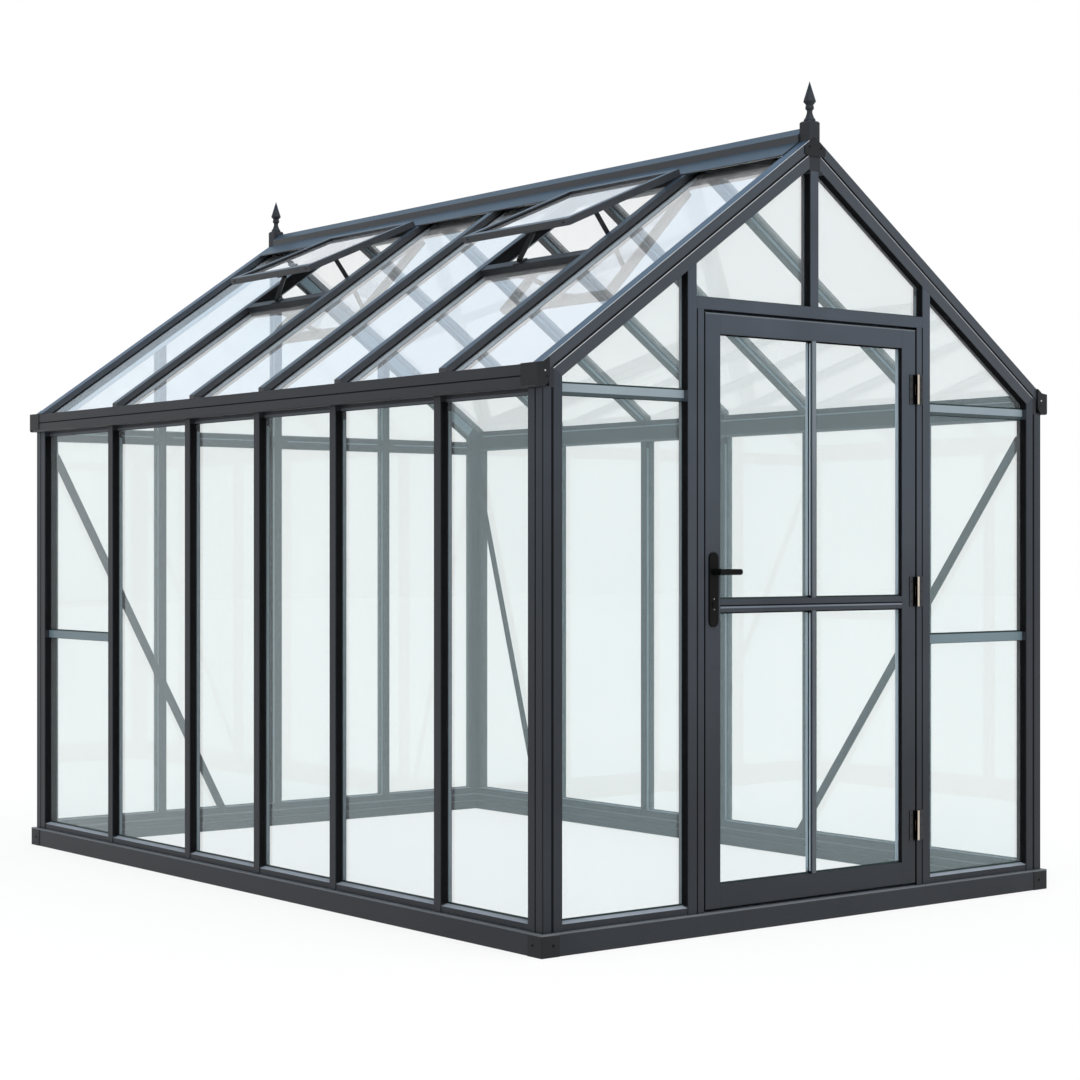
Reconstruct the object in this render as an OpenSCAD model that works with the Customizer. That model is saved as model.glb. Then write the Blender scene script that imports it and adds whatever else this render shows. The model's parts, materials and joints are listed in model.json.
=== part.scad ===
// Glass greenhouse: a gabled house of grooved aluminium glazing bars with gutters at the eaves,
// two open roof vents and one hinged glazed door. The front gable faces -Y and +Z is up.
// The origin is on the ground at the middle of the footprint.

/* [Base] */
// Width over the base rails
base_w = 2440; // [2300:10:2600]
// Length over the base rails
base_l = 3600; // [3300:10:4000]
// Height of the base rails
base_h = 74; // [60:1:100]
// Height of the lower band on the inside of the base rails
base_band_h = 40; // [20:1:50]
// Width of the ledge on the inside of the base rails
base_ledge = 12; // [6:1:24]
// Reveal of the base beyond the wall faces
base_out = 15; // [8:1:22]
// Arm length of the base corner plates
corner_plate_arm = 73; // [50:1:90]
// Thickness of the base corner plates
corner_plate_t = 3; // [2:0.5:5]

/* [Glazing bars] */
// Face width of the glazing bars
bar_w = 38; // [34:1:44]
// Depth of the glazing bars
bar_d = 50; // [46:1:56]
// Thickness of the glass
glass_t = 4; // [3:0.5:5]
// Set-back of the glass from the faces of the bars
glass_set = 29; // [24:1:31]
// Depth of pane held in each groove
bite = 9; // [7:0.5:11]
// Room left behind a pane in its groove
groove_room = 1; // [0.5:0.5:2]
// Slip clearance round panes and at butt joints
slip = 0.3; // [0.2:0.05:0.4]
// Width of the front bay, from the base's front to the first bar's middle
front_bay = 585; // [500:5:640]
// Width of the bays with vents, between the bars' middles
vent_bay = 640; // [580:5:700]
// Width of the rear bay, from the last bar's middle to the base's back
rear_bay = 695; // [500:5:760]
// Height of the sills
sill_h = 30; // [24:1:40]
// Fall of the sill's top towards the outside
sill_fall = 7; // [3:1:12]
// Set-back of the sill's face from the bars
sill_set = 3; // [0:0.5:6]
// Height of the small transoms
transom_h = 32; // [26:1:40]
// Thickness of the small transoms in front of the glass
transom_lip = 8; // [4:1:12]

/* [Corner posts] */
// Width of each face strip of a corner post
strip_w = 35; // [33:1:40]
// Width of the seams in the posts' wall faces
seam_w = 6; // [3:0.5:7]
// Width of the seams in the posts' gable faces
gable_seam_w = 10; // [6:0.5:12]
// Depth of the seams
seam_d = 6; // [3:0.5:8]

/* [Eaves] */
// Clear height between the door header's corners and the rafters
door_headroom = 110; // [60:1:200]
// Height of the gutter's fascia
gutter_h = 75; // [66:1:90]
// Reach of the gutter beyond the wall face
gutter_out = 27; // [22:1:36]
// Wall thickness of the gutter
gutter_t = 4; // [3:0.5:6]
// Rounding chamfer of the gutter's lower edge
gutter_edge = 7; // [4:1:10]
// Thickness of the eaves beam behind the gutter
beam_t = 18; // [14:1:20]
// Height of the head rail below the gutter
head_h = 19; // [16:1:26]
// Thickness of the head rail's lip in front of the glass
head_lip = 5; // [3:0.5:8]
// Width of the shadow grooves in fascia and beam
line_w = 5; // [3:0.5:6]
// Depth of the shadow grooves in fascia and beam
line_d = 2.5; // [1:0.5:2.5]
// Thickness of the gutter end caps
cap_t = 8; // [4:0.5:10]
// Reach of the end caps over the corner posts
cap_lap = 23; // [16:1:30]
// Corner radius of the end caps' outer foot
cap_round = 8; // [4:1:12]
// Corner radius of the end caps' inner foot
cap_bend = 34; // [24:1:36]
// Length of the end caps' sleeves over the gutters
cap_sleeve = 76; // [56:1:90]
// Thickness of the end caps' sleeves
cap_skin = 2.5; // [1.5:0.5:4]

/* [Roof] */
// Pitch of both slopes
roof_pitch = 35; // [32:0.5:38]
// Height of the roof bars over the fascia's top at the wall face
roof_lift = 6; // [2:1:12]
// Reach of the roof bars past the eaves beam
bar_nose = 6; // [3:1:10]
// Reach of the roof glass past the roof bars
glass_nose = 4; // [2:1:8]
// Gap between the roof glass and the ridge's web
glass_head_gap = 3; // [2:0.5:6]
// Depth of the inner face strip of the gable rafters
rafter_inner = 38; // [34:1:44]
// Width of the seam between the rafter's face strips
rafter_seam = 10; // [6:0.5:12]
// Width of the ridge's web
ridge_web = 44; // [40:1:48]
// Width of the ridge cap
ridge_cap = 64; // [58:1:70]
// Height of the cap's edge over the roof's apex
ridge_edge = 8; // [4:1:14]
// Height of the cap's top over its edge
ridge_crown = 28; // [18:1:32]
// Reach of the ridge's wings from the middle
wing_reach = 106; // [90:1:120]
// Thickness of the ridge's wings
wing_t = 4; // [3:0.5:6]
// Depth of the ridge's web below the roof bars
ridge_drop = 8; // [4:1:16]
// Side of the square ridge end posts
post_side = 50; // [48:1:56]
// Height of the end posts over the roof's apex
post_rise = 54; // [50:1:64]
// Chamfer on the end posts' tops
post_chamfer = 5; // [2:0.5:8]
// Depth of the end posts below the rafters
post_drop = 6; // [3:1:12]
// Width of the apex plates
apex_plate_w = 100; // [90:1:120]
// Height of the apex plates
apex_plate_h = 66; // [56:1:76]
// Thickness of the apex plates
apex_plate_t = 4; // [3:0.5:6]

/* [Finials] */
// Height of a finial
finial_h = 141; // [120:1:160]
// Widest diameter of the spear
spear_d = 45; // [38:1:48]
// Height of the spear
spear_h = 72; // [60:1:84]
// Diameter of the neck
neck_d = 20; // [16:1:24]
// Diameter of the foot
foot_d = 42; // [36:1:46]

/* [Gables] */
// Width of the door jambs
jamb_w = 33; // [28:1:38]
// Height of the door header
header_h = 40; // [32:1:50]
// Height of the eaves transoms
high_transom_h = 38; // [30:1:44]
// Height of the eaves transoms' top over the gutter's underside
high_transom_rise = 17; // [10:1:30]
// Height of the low transom's middle beside the hinges
low_transom_z = 961; // [800:10:1100]
// Height of the transom's middle in the left wall's rear bay
wall_transom_z = 922; // [800:10:1100]
// Distance from the middle to the back gable's outer mullions
back_mullion_x = 610; // [560:10:660]
// Height of the back gable's transoms
back_transom_h = 57; // [44:1:64]
// Drop of the back transoms' middle below the gutter's underside
back_transom_drop = 10; // [0:1:60]
// Width of the wind braces
brace_w = 38; // [30:1:44]
// Thickness of the wind braces
brace_t = 4; // [3:0.5:6]
// Height of the braces' lower ends
brace_foot_z = 92; // [90:1:98]
// Drop of the long side brace's upper end below the gutter
long_brace_drop = 100; // [60:5:200]
// Run of the long side brace along the wall
long_brace_run = 1180; // [1130:10:1200]
// Drop of the short side brace's upper end below the gutter
short_brace_drop = 160; // [60:5:240]
// Run of the short side brace along the wall
short_brace_run = 480; // [440:10:500]
// Drop of the back brace's upper end below the gutter
back_brace_drop = 110; // [90:5:200]
// Distance from the middle to the back brace's foot
back_brace_x = 300; // [250:10:400]

/* [Vents] */
// Distance down the slope to the vent trimmers
vent_u = 650; // [600:10:760]
// Opening angle of the vents
vent_open = 11.5; // [8:0.5:20]
// Width of the vents' stiles and rails
sash_w = 34; // [30:1:40]
// Thickness of the vents' stiles and rails
sash_t = 26; // [22:1:32]
// Lap of a vent over the roof bars beside it
sash_lap = 12; // [8:1:16]
// Lap of a vent over its trimmer
sash_foot_lap = 10; // [4:1:20]
// Drop of the trimmers below the roof bars' tops
trimmer_drop = 2; // [1:0.5:4]
// Width of the opener arms
opener_w = 18; // [14:1:22]
// Thickness of the opener arms
opener_t = 8; // [6:0.5:12]
// Lean of the opener arms along the house
opener_lean = 150; // [60:5:180]
// Width of the opener's feet
opener_foot = 46; // [36:1:56]
// Diameter of the pins at the ends of openers and stays
fitting_pin_d = 12; // [10:1:14]
// Thickness of the opener's feet and of the stays
fitting_t = 4; // [3:0.5:6]
// Width of the side stays
stay_w = 20; // [14:1:26]
// Distance from the trimmers up the slope to the stays' lower ends
stay_rise = 110; // [90:5:240]
// Lean of the stays towards the eaves
stay_lean = 8; // [0:1:60]

/* [Door] */
// Width of the door leaf
door_w = 1023; // [900:1:1060]
// Height of the door leaf
door_h = 1996; // [1900:1:2020]
// Thickness of the door leaf
door_t = 36; // [32:1:36]
// Set-back of the leaf from the gable's face
door_set = 1.5; // [0.5:0.5:2]
// Gap between the leaf and each jamb
door_gap = 6.5; // [6.5:0.5:8]
// Gap below and above the leaf
door_end_gap = 10; // [7:0.5:14]
// Width of the door stiles
stile_w = 68; // [60:1:80]
// Height of the door's top rail
top_rail_h = 68; // [56:1:90]
// Height of the door's bottom rail
bottom_rail_h = 78; // [60:1:120]
// Height of the door's middle rail
mid_rail_h = 44; // [36:1:60]
// Height of the middle rail's middle
mid_rail_z = 1098; // [950:1:1140]
// Width of the muntins
muntin_w = 18; // [16:1:30]
// Thickness of the web between a muntin's grooves
muntin_web = 4; // [2:0.5:6]
// Reach of the door stops over the leaf
stop_lap = 7.5; // [5:0.5:9]
// Thickness of the door stops
stop_t = 7; // [5:0.5:7]

/* [Hinges] */
// Length of a hinge
hinge_l = 107; // [80:1:120]
// Radius of a hinge knuckle
knuckle_r = 7; // [6:0.5:7.5]
// Radius of a hinge pin
pin_r = 3; // [2.5:0.25:3.5]
// Clearance round the hinge pins and between knuckles
hinge_slip = 0.4; // [0.3:0.05:0.5]
// Distance of the knuckles' middle from the gable's face
knuckle_out = 8; // [7.5:0.25:8.5]
// Width of a hinge leaf
hinge_leaf_w = 34; // [26:1:36]
// Thickness of a hinge leaf
hinge_leaf_t = 3; // [2.5:0.25:3.5]
// Height of the lowest hinge's middle over the leaf's foot
hinge_rise = 208; // [120:1:320]
// Height of the middle hinge's middle
hinge_mid_z = 1136; // [900:1:1300]
// Drop of the highest hinge's middle below the leaf's top
hinge_drop = 215; // [120:1:320]

/* [Handle] */
// Width of the handle plates
handle_plate_w = 40; // [32:1:46]
// Height of the handle plates
handle_plate_h = 250; // [200:1:280]
// Thickness of the handle plates
handle_plate_t = 7; // [4:0.5:9]
// Height of the handle plates' middle
handle_plate_z = 1153; // [1140:1:1165]
// Height of the lever's spindle
lever_z = 1212; // [1200:1:1225]
// Height of the lock cylinder
lock_z = 1104; // [1090:1:1120]
// Reach of a lever from its spindle
lever_reach = 92; // [80:1:110]
// Height of a lever's arm
lever_h = 20; // [16:1:24]
// Thickness of a lever's arm
lever_t = 12; // [9:1:16]
// Distance of the lever's arm from the plate
lever_out = 30; // [24:1:40]
// Diameter of the lever's hub
hub_d = 22; // [18:1:26]
// Diameter of the spindle
spindle_d = 9; // [8:0.5:10]
// Clearance round the spindle
spindle_slip = 0.5; // [0.3:0.1:0.8]
// Diameter of the lock cylinder
lock_d = 18; // [15:1:22]
// Length of the lock cylinder over its plate
lock_out = 3; // [2:0.5:5]

/* [Hidden] */
$fn = 48;
eps = 1;
frame_grey = [0.27, 0.28, 0.30];
deep_grey = [0.20, 0.21, 0.23];
clear_glass = [0.84, 0.93, 0.93, 0.4];
steel = [0.55, 0.53, 0.50];
black = [0.07, 0.07, 0.08];

// Wall planes and the base's section
wall_x = base_w / 2 - base_out;
gable_y = base_l / 2 - base_out;
base_seat = base_out + bar_d;
base_t = base_seat + base_ledge;

// Corner posts, with one leg along each wall
leg_x = 2 * strip_w + gable_seam_w;
leg_y = 2 * strip_w + seam_w;
post_in_x = wall_x - leg_x;
post_in_y = gable_y - leg_y;
strip_in_x = wall_x - strip_w - gable_seam_w;

// Glazing groove: depth, and its faces measured in from the bars' outer faces
groove = bite + groove_room;
groove_in = glass_set + glass_t + slip;
groove_out = glass_set - slip;
sill_top = base_h + sill_h;

// Transoms and head rails, set back from the bars' faces
transom_set = glass_set - transom_lip;
head_set = glass_set - head_lip;

// Side bars and the bays between them
first_bar_y = front_bay - base_l / 2;
last_bar_y = base_l / 2 - rear_bay;
middle_bar_y = (first_bar_y + last_bar_y) / 2;
bar_y = [first_bar_y, first_bar_y + vent_bay, middle_bar_y, last_bar_y - vent_bay, last_bar_y];
last_bay = len(bar_y);
bays = [for (i = [0:last_bay]) [
  i == 0 ? -post_in_y : bar_y[i - 1] + bar_w / 2,
  i == last_bay ? post_in_y : bar_y[i] - bar_w / 2
]];
front_vent_bay = 1;
back_vent_bay = last_bay - 1;

// Door opening
jamb_x = door_w / 2 + door_gap;
mullion_x = jamb_x + jamb_w;
light_x = mullion_x + bar_w;
door_z = base_h + door_end_gap;
header_z = door_z + door_h + door_end_gap;
door_out_y = gable_y - door_set;
door_in_y = door_out_y - door_t;
stop_reach = door_gap + stop_lap;
door_glass_y = (door_out_y + door_in_y) / 2;
rail_x = door_w / 2 - stile_w;
top_rail_z = door_z + door_h - top_rail_h;
hinge_x = door_w / 2 + door_gap / 2;
hinge_y = gable_y + knuckle_out;
hinge_zs = [door_z + hinge_rise, hinge_mid_z, door_z + door_h - hinge_drop];
handle_x = -door_w / 2 + stile_w / 2;

// Roof planes over the door header, and the eaves below them
rafter_outer = glass_set + glass_t;
rafter_d = rafter_outer + rafter_seam + rafter_inner;
roof_z = header_z + header_h + door_headroom + rafter_d / cos(roof_pitch) + mullion_x * tan(roof_pitch);
eaves_z = roof_z - wall_x * tan(roof_pitch) - roof_lift - gutter_h;
head_z = eaves_z - head_h;
high_transom_z = eaves_z + high_transom_rise - high_transom_h / 2;
back_transom_z = eaves_z - back_transom_drop;
gutter_x = wall_x + gutter_out;
gutter_top = eaves_z + gutter_h;
cap_out = gutter_x + cap_skin;
cap_top = gutter_top + cap_skin;
beam_in = strip_in_x + slip;
beam_out = beam_in + beam_t;
roof_bar_end = beam_out + bar_nose;
glass_u0 = (ridge_web / 2 + glass_head_gap + rafter_outer * sin(roof_pitch)) / cos(roof_pitch);
glass_u1 = (roof_bar_end + glass_nose + glass_set * sin(roof_pitch)) / cos(roof_pitch);
post_z = roof_top(post_side / 2, -rafter_d) - post_drop;

// Vents: half widths of the opening and of the sash, and the sash's place and length down the slope
vent_half = (vent_bay - bar_w) / 2;
sash_half = vent_half + sash_lap;
sash_u = wing_reach / cos(roof_pitch) + slip;
sash_n = slip + 0.2;
sash_l = vent_u + bar_w + sash_foot_lap - sash_u;

// Height of the roof's surface at a distance x from the middle, moved out by n along its normal
function roof_top(x, n) = roof_z + n / cos(roof_pitch) - x * tan(roof_pitch);

// Copies on both long sides, at both gables and at all corners
module on_left() { mirror([1, 0, 0]) children(); }
module on_front() { mirror([0, 1, 0]) children(); }
module on_sides() { children(); on_left() children(); }
module on_gables() { children(); on_front() children(); }

// Box between two opposite corners
module box(low, high) { translate(low) cube(high - low); }

// Outline in X and Z, extruded from y0 to y1
module along_y(y0, y1) { translate([0, y1, 0]) rotate([90, 0, 0]) linear_extrude(y1 - y0) children(); }

// Outline in Y and Z, extruded from x0 to x1
module along_x(x0, x1) { translate([x0, 0, 0]) rotate([90, 0, 90]) linear_extrude(x1 - x0) children(); }

// Frame of the right slope: X runs down the slope from the apex and Z along its normal
module on_roof() { translate([0, 0, roof_z]) rotate([0, roof_pitch, 0]) children(); }

// Copies at both vents of the left slope, with Y measured from each vent's middle
module on_vents() {
  on_left() for (i = [front_vent_bay, back_vent_bay])
    translate([0, (bays[i][0] + bays[i][1]) / 2, 0]) children();
}

// Frame of an open vent, hinged at the edge of the ridge's wing
module on_sash() { on_roof() translate([sash_u, 0, sash_n]) rotate([0, -vent_open, 0]) children(); }

// Band of the right slope between two normal offsets, from x0 to x1
module roof_band(n0, n1, x0, x1) {
  polygon([[x0, roof_top(x0, n0)], [x1, roof_top(x1, n0)], [x1, roof_top(x1, n1)], [x0, roof_top(x0, n1)]]);
}

// Flat bar with round ends between two points
module flat_bar(p, q, w) {
  run = q - p;
  translate(p) rotate(atan2(run[1], run[0])) {
    translate([0, -w / 2]) square([norm(run), w]);
    circle(d = w);
    translate([norm(run), 0]) circle(d = w);
  }
}

// Glazing grooves of the gables, between two corners in X and Z
module gable_groove(low, high) {
  box([low[0], gable_y - groove_in, low[1]], [high[0], gable_y - groove_out, high[1]]);
}

// Base rail on the back side, mitred at both ends
module gable_base_rail() {
  half_l = base_l / 2;
  half_w = base_w / 2 - slip;
  intersection() {
    along_x(-base_w / 2, base_w / 2) base_section(half_l);
    linear_extrude(base_h) polygon([[-half_w, half_l], [half_w, half_l],
      [half_w - base_t, half_l - base_t], [-half_w + base_t, half_l - base_t]]);
  }
}

// Section of a base rail whose outer face lies at a distance from the middle
module base_section(out) {
  polygon([[out, 0], [out, base_h], [out - base_seat, base_h], [out - base_seat, base_band_h],
    [out - base_t, base_band_h], [out - base_t, 0]]);
}

module base_front_rail() { color(frame_grey) on_front() gable_base_rail(); }

module base_back_rail() { color(frame_grey) gable_base_rail(); }

module base_side_rails() {
  half_w = base_w / 2;
  half_l = base_l / 2 - slip;
  color(frame_grey) on_sides() intersection() {
    along_y(-base_l / 2, base_l / 2) base_section(half_w);
    linear_extrude(base_h) polygon([[half_w, -half_l], [half_w, half_l],
      [half_w - base_t, half_l - base_t], [half_w - base_t, -half_l + base_t]]);
  }
}

module base_corner_plates() {
  x = base_w / 2;
  y = base_l / 2;
  color(deep_grey) on_gables() on_sides() linear_extrude(base_h) polygon([
    [x, y], [x, y - corner_plate_arm], [x + corner_plate_t / 2, y - corner_plate_arm],
    [x + corner_plate_t, y - corner_plate_arm + corner_plate_t], [x + corner_plate_t, y],
    [x, y + corner_plate_t], [x - corner_plate_arm + corner_plate_t, y + corner_plate_t],
    [x - corner_plate_arm, y + corner_plate_t / 2], [x - corner_plate_arm, y]]);
}

// Plan of a corner post: two legs, a seam in each face and a glazing groove in each end
module corner_post_plan() {
  difference() {
    translate([post_in_x, post_in_y]) square([leg_x, leg_y]);
    translate([post_in_x - eps, post_in_y - eps]) square([leg_x - bar_d + eps, leg_y - bar_d + eps]);
    translate([wall_x - seam_d, gable_y - strip_w - seam_w]) square([seam_d + eps, seam_w]);
    translate([strip_in_x, gable_y - seam_d]) square([gable_seam_w, seam_d + eps]);
    translate([wall_x - groove_in, post_in_y - eps]) square([groove_in - groove_out, groove + eps]);
    translate([post_in_x - eps, gable_y - groove_in]) square([groove + eps, groove_in - groove_out]);
  }
}

module corner_posts() {
  mitre_low = roof_top(post_in_x, -rafter_d) - slip;
  mitre_high = roof_top(strip_in_x, -rafter_outer - rafter_seam) - slip;
  color(frame_grey) on_gables() on_sides() {
    translate([0, 0, base_h]) linear_extrude(eaves_z - base_h) corner_post_plan();
    difference() {
      along_y(gable_y - bar_d, gable_y) polygon([[post_in_x, eaves_z - eps],
        [strip_in_x, eaves_z - eps], [strip_in_x, mitre_high], [post_in_x, mitre_low]]);
      gable_groove([post_in_x - eps, eaves_z - 2 * eps], [post_in_x + groove, mitre_high + eps]);
    }
  }
}

// Glazing bars of the right wall, with a groove in each side and a nose in front of the head rail
module wall_bars() {
  for (y = bar_y) difference() {
    union() {
      box([wall_x - bar_d, y - bar_w / 2, base_h], [wall_x, y + bar_w / 2, head_z]);
      box([wall_x - head_set + slip, y - bar_w / 2, base_h], [wall_x, y + bar_w / 2, eaves_z]);
    }
    for (s = [-1, 1]) translate([wall_x - groove_in, y + s * bar_w / 2 - groove, base_h - eps])
      cube([groove_in - groove_out, 2 * groove, head_z - base_h + 2 * eps]);
  }
}

module left_wall_bars() { color(frame_grey) on_left() wall_bars(); }

module right_wall_bars() { color(frame_grey) wall_bars(); }

// Section of a sill whose wall face lies at a distance from the middle
module sill_section(face) {
  difference() {
    polygon([[face - sill_set, base_h], [face - sill_set, sill_top - sill_fall],
      [face - groove_out, sill_top], [face - bar_d, sill_top], [face - bar_d, base_h]]);
    translate([face - groove_in, sill_top - groove]) square([groove_in - groove_out, groove + eps]);
  }
}

// Sills of the right wall, one in each bay
module side_sills() {
  for (bay = bays) along_y(bay[0] + slip, bay[1] - slip) sill_section(wall_x);
}

module left_sills() { color(frame_grey) on_left() side_sills(); }

module right_sills() { color(frame_grey) side_sills(); }

module gable_sills() {
  inner = back_mullion_x - bar_w / 2;
  color(frame_grey) {
    on_sides() on_front() along_x(light_x + slip, post_in_x - slip) sill_section(gable_y);
    on_sides() along_x(bar_w / 2 + slip, inner - slip) sill_section(gable_y);
    on_sides() along_x(inner + bar_w + slip, post_in_x - slip) sill_section(gable_y);
  }
}

// Section of the gutter and the eaves beam behind it
module gutter_section() {
  floor_z = eaves_z + gutter_t;
  inside_x = gutter_x - gutter_t;
  difference() {
    polygon([[beam_in, eaves_z], [gutter_x - gutter_edge, eaves_z], [gutter_x, eaves_z + gutter_edge],
      [gutter_x, gutter_top], [inside_x, gutter_top], [inside_x, floor_z + gutter_edge],
      [inside_x - gutter_edge, floor_z], [beam_out, floor_z],
      [beam_out, roof_top(beam_out, -groove_in)], [beam_in, roof_top(beam_in, -groove_in)]]);
    translate([gutter_x - line_d, eaves_z + gutter_h / 2 - line_w / 2]) square([line_d + eps, line_w]);
  }
}

// Section of the head rail and of the beam's inner face between the corner posts
module head_section() {
  inside_x = wall_x - bar_d;
  top_z = roof_top(inside_x, -groove_in);
  lap_x = beam_in + beam_t / 2;
  difference() {
    union() {
      translate([inside_x, head_z]) square([bar_d - head_set, head_h + gutter_t / 2]);
      polygon([[inside_x, eaves_z], [lap_x, eaves_z], [lap_x, roof_top(lap_x, -groove_in)],
        [inside_x, top_z]]);
    }
    translate([wall_x - groove_in, head_z - eps]) square([groove_in - groove_out, groove + eps]);
    translate([inside_x - eps, (head_z + top_z - line_w) / 2]) square([line_d + eps, line_w]);
  }
}

// Eaves beam and gutter of the right wall
module eaves_gutter() {
  along_y(-gable_y, gable_y) gutter_section();
  along_y(-post_in_y + slip, post_in_y - slip) head_section();
}

module left_gutter() { color(frame_grey) on_left() eaves_gutter(); }

module right_gutter() { color(frame_grey) eaves_gutter(); }

// Outline of an end cap: it closes the gutter, follows the rafter's top and has a round foot
module end_cap_outline() {
  cap_x = wall_x - cap_lap;
  bend_x = cap_x + cap_bend;
  round_x = cap_out - cap_round;
  foot_z = eaves_z + cap_bend;
  polygon([[cap_x, foot_z], [bend_x, foot_z], [bend_x, eaves_z], [round_x, eaves_z],
    [round_x, eaves_z + cap_round], [cap_out, eaves_z + cap_round], [cap_out, cap_top],
    [wall_x, roof_top(wall_x, 0)], [cap_x, roof_top(cap_x, 0)]]);
  translate([round_x, eaves_z + cap_round]) circle(r = cap_round);
  translate([bend_x, foot_z]) intersection() {
    circle(r = cap_bend);
    translate([-cap_bend, -cap_bend]) square([cap_bend + eps, cap_bend + eps]);
  }
}

// Section of an end cap's sleeve: a skin down the fascia and a cover that rises to the rafter's end
module cap_sleeve_section() {
  polygon([[cap_out, eaves_z + cap_round], [cap_out, cap_top], [wall_x + slip, roof_top(wall_x, 0)],
    [wall_x + slip, gutter_top], [gutter_x, gutter_top], [gutter_x, eaves_z + cap_round]]);
}

module gutter_end_caps() {
  color(deep_grey) on_gables() on_sides() {
    along_y(gable_y, gable_y + cap_t) end_cap_outline();
    along_y(gable_y - cap_sleeve, gable_y + eps) cap_sleeve_section();
  }
}

// Pair of rafters at the back gable: two face strips with a seam, and a groove for each glass plane
module gable_rafters() {
  top_x = post_side / 2 + slip;
  seam_n = -rafter_outer - rafter_seam;
  on_sides() difference() {
    along_y(gable_y - bar_d, gable_y) polygon([
      [top_x, roof_top(top_x, 0)], [wall_x, roof_top(wall_x, 0)],
      [wall_x, roof_top(wall_x, -rafter_outer)], [strip_in_x, roof_top(strip_in_x, -rafter_outer)],
      [strip_in_x, roof_top(strip_in_x, seam_n)], [post_in_x, roof_top(post_in_x, -rafter_d)],
      [top_x, roof_top(top_x, -rafter_d)]]);
    along_y(gable_y - seam_d, gable_y + eps) roof_band(-rafter_outer, seam_n, 0, wall_x);
    along_y(gable_y - bar_d - eps, gable_y - bar_d + groove)
      roof_band(-groove_out, -groove_in, 0, gutter_x);
    along_y(gable_y - groove_in, gable_y - groove_out)
      roof_band(groove - rafter_d, -rafter_d - eps, 0, wall_x);
  }
}

module front_rafters() { color(frame_grey) on_front() gable_rafters(); }

module back_rafters() { color(frame_grey) gable_rafters(); }

// Glazing bars of the right slope, notched over the eaves beam
module roof_bars() {
  top_x = ridge_web / 2 + slip;
  notch_x = wall_x - bar_d - slip;
  for (y = bar_y) difference() {
    along_y(y - bar_w / 2, y + bar_w / 2) polygon([
      [top_x, roof_top(top_x, 0)], [roof_bar_end, roof_top(roof_bar_end, 0)],
      [roof_bar_end, roof_top(roof_bar_end, -rafter_outer)], [notch_x, roof_top(notch_x, -rafter_outer)],
      [notch_x, roof_top(notch_x, -bar_d)], [top_x, roof_top(top_x, -bar_d)]]);
    for (s = [-1, 1]) translate([0, y + s * bar_w / 2, 0])
      along_y(-groove, groove) roof_band(-groove_out, -groove_in, 0, gutter_x);
  }
}

module left_roof_bars() { color(frame_grey) on_left() roof_bars(); }

module right_roof_bars() { color(frame_grey) roof_bars(); }

module ridge() {
  web = ridge_web / 2;
  cap = ridge_cap / 2;
  wing_n = slip + wing_t;
  half = [[cap, roof_z + ridge_edge], [cap, roof_top(cap, wing_n)],
    [wing_reach, roof_top(wing_reach, wing_n)], [wing_reach, roof_top(wing_reach, slip)],
    [web, roof_top(web, slip)], [web, roof_top(web, -bar_d) - ridge_drop]];
  other = [for (i = [len(half) - 1:-1:0]) [-half[i][0], half[i][1]]];
  end_y = gable_y - bar_d - slip;
  color(frame_grey) along_y(-end_y, end_y)
    polygon(concat([[0, roof_z + ridge_edge + ridge_crown]], half, other));
}

// Outline of an end post with a chamfered top, centred on a value
module post_outline(middle) {
  top = roof_z + post_rise;
  half = post_side / 2;
  polygon([[middle - half, post_z], [middle + half, post_z], [middle + half, top - post_chamfer],
    [middle + half - post_chamfer, top], [middle - half + post_chamfer, top],
    [middle - half, top - post_chamfer]]);
}

module ridge_end_posts() {
  middle = gable_y - post_side / 2;
  color(frame_grey) on_gables() intersection() {
    along_y(middle - post_side / 2, gable_y) post_outline(0);
    along_x(-post_side / 2, post_side / 2) post_outline(middle);
  }
}

module apex_plates() {
  half = apex_plate_w / 2;
  top = roof_top(0, 0) - post_drop;
  low = top - apex_plate_h;
  shoulder = top - half * tan(roof_pitch);
  color(deep_grey) on_gables() along_y(gable_y, gable_y + apex_plate_t) polygon([[0, top],
    [half, shoulder], [half, low + post_drop], [half / 2, low], [-half / 2, low],
    [-half, low + post_drop], [-half, shoulder]]);
}

module finials() {
  spear_z = finial_h - spear_h;
  neck_z = spear_z * 0.42;
  color(frame_grey) on_gables() translate([0, gable_y - post_side / 2, roof_z + post_rise])
    rotate_extrude() polygon([[0, 0], [foot_d / 2, 0], [foot_d / 2, spear_z * 0.08],
      [foot_d * 0.36, spear_z * 0.2], [neck_d / 2, neck_z], [neck_d / 2, neck_z + spear_z * 0.14],
      [neck_d * 0.75, neck_z + spear_z * 0.2], [neck_d * 0.75, neck_z + spear_z * 0.34],
      [neck_d * 0.62, neck_z + spear_z * 0.4], [spear_d / 2, spear_z], [0, finial_h]]);
}

// Upright of a gable between two distances from the middle, from z0 to the rafter
module gable_upright(x0, x1, z0) {
  along_y(gable_y - bar_d, gable_y) polygon([[x0, z0], [x1, z0],
    [x1, roof_top(x1, -rafter_d) - slip], [x0, roof_top(x0, -rafter_d) - slip]]);
}

module door_mullions() {
  top = roof_z;
  color(frame_grey) on_front() on_sides() difference() {
    gable_upright(mullion_x, light_x, base_h);
    gable_groove([light_x - groove, base_h - eps], [light_x + eps, top]);
    gable_groove([mullion_x - eps, header_z + header_h - groove], [mullion_x + groove, top]);
  }
}

module door_jambs() {
  inside_y = gable_y - bar_d;
  color(frame_grey) on_front() on_sides() difference() {
    union() {
      box([jamb_x, inside_y, base_h], [mullion_x, gable_y, header_z]);
      box([jamb_x - stop_reach, inside_y, base_h], [mullion_x, inside_y + stop_t, header_z]);
    }
    box([mullion_x - seam_w, gable_y - seam_d, base_h - eps],
      [mullion_x + eps, gable_y + eps, header_z + eps]);
  }
}

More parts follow.
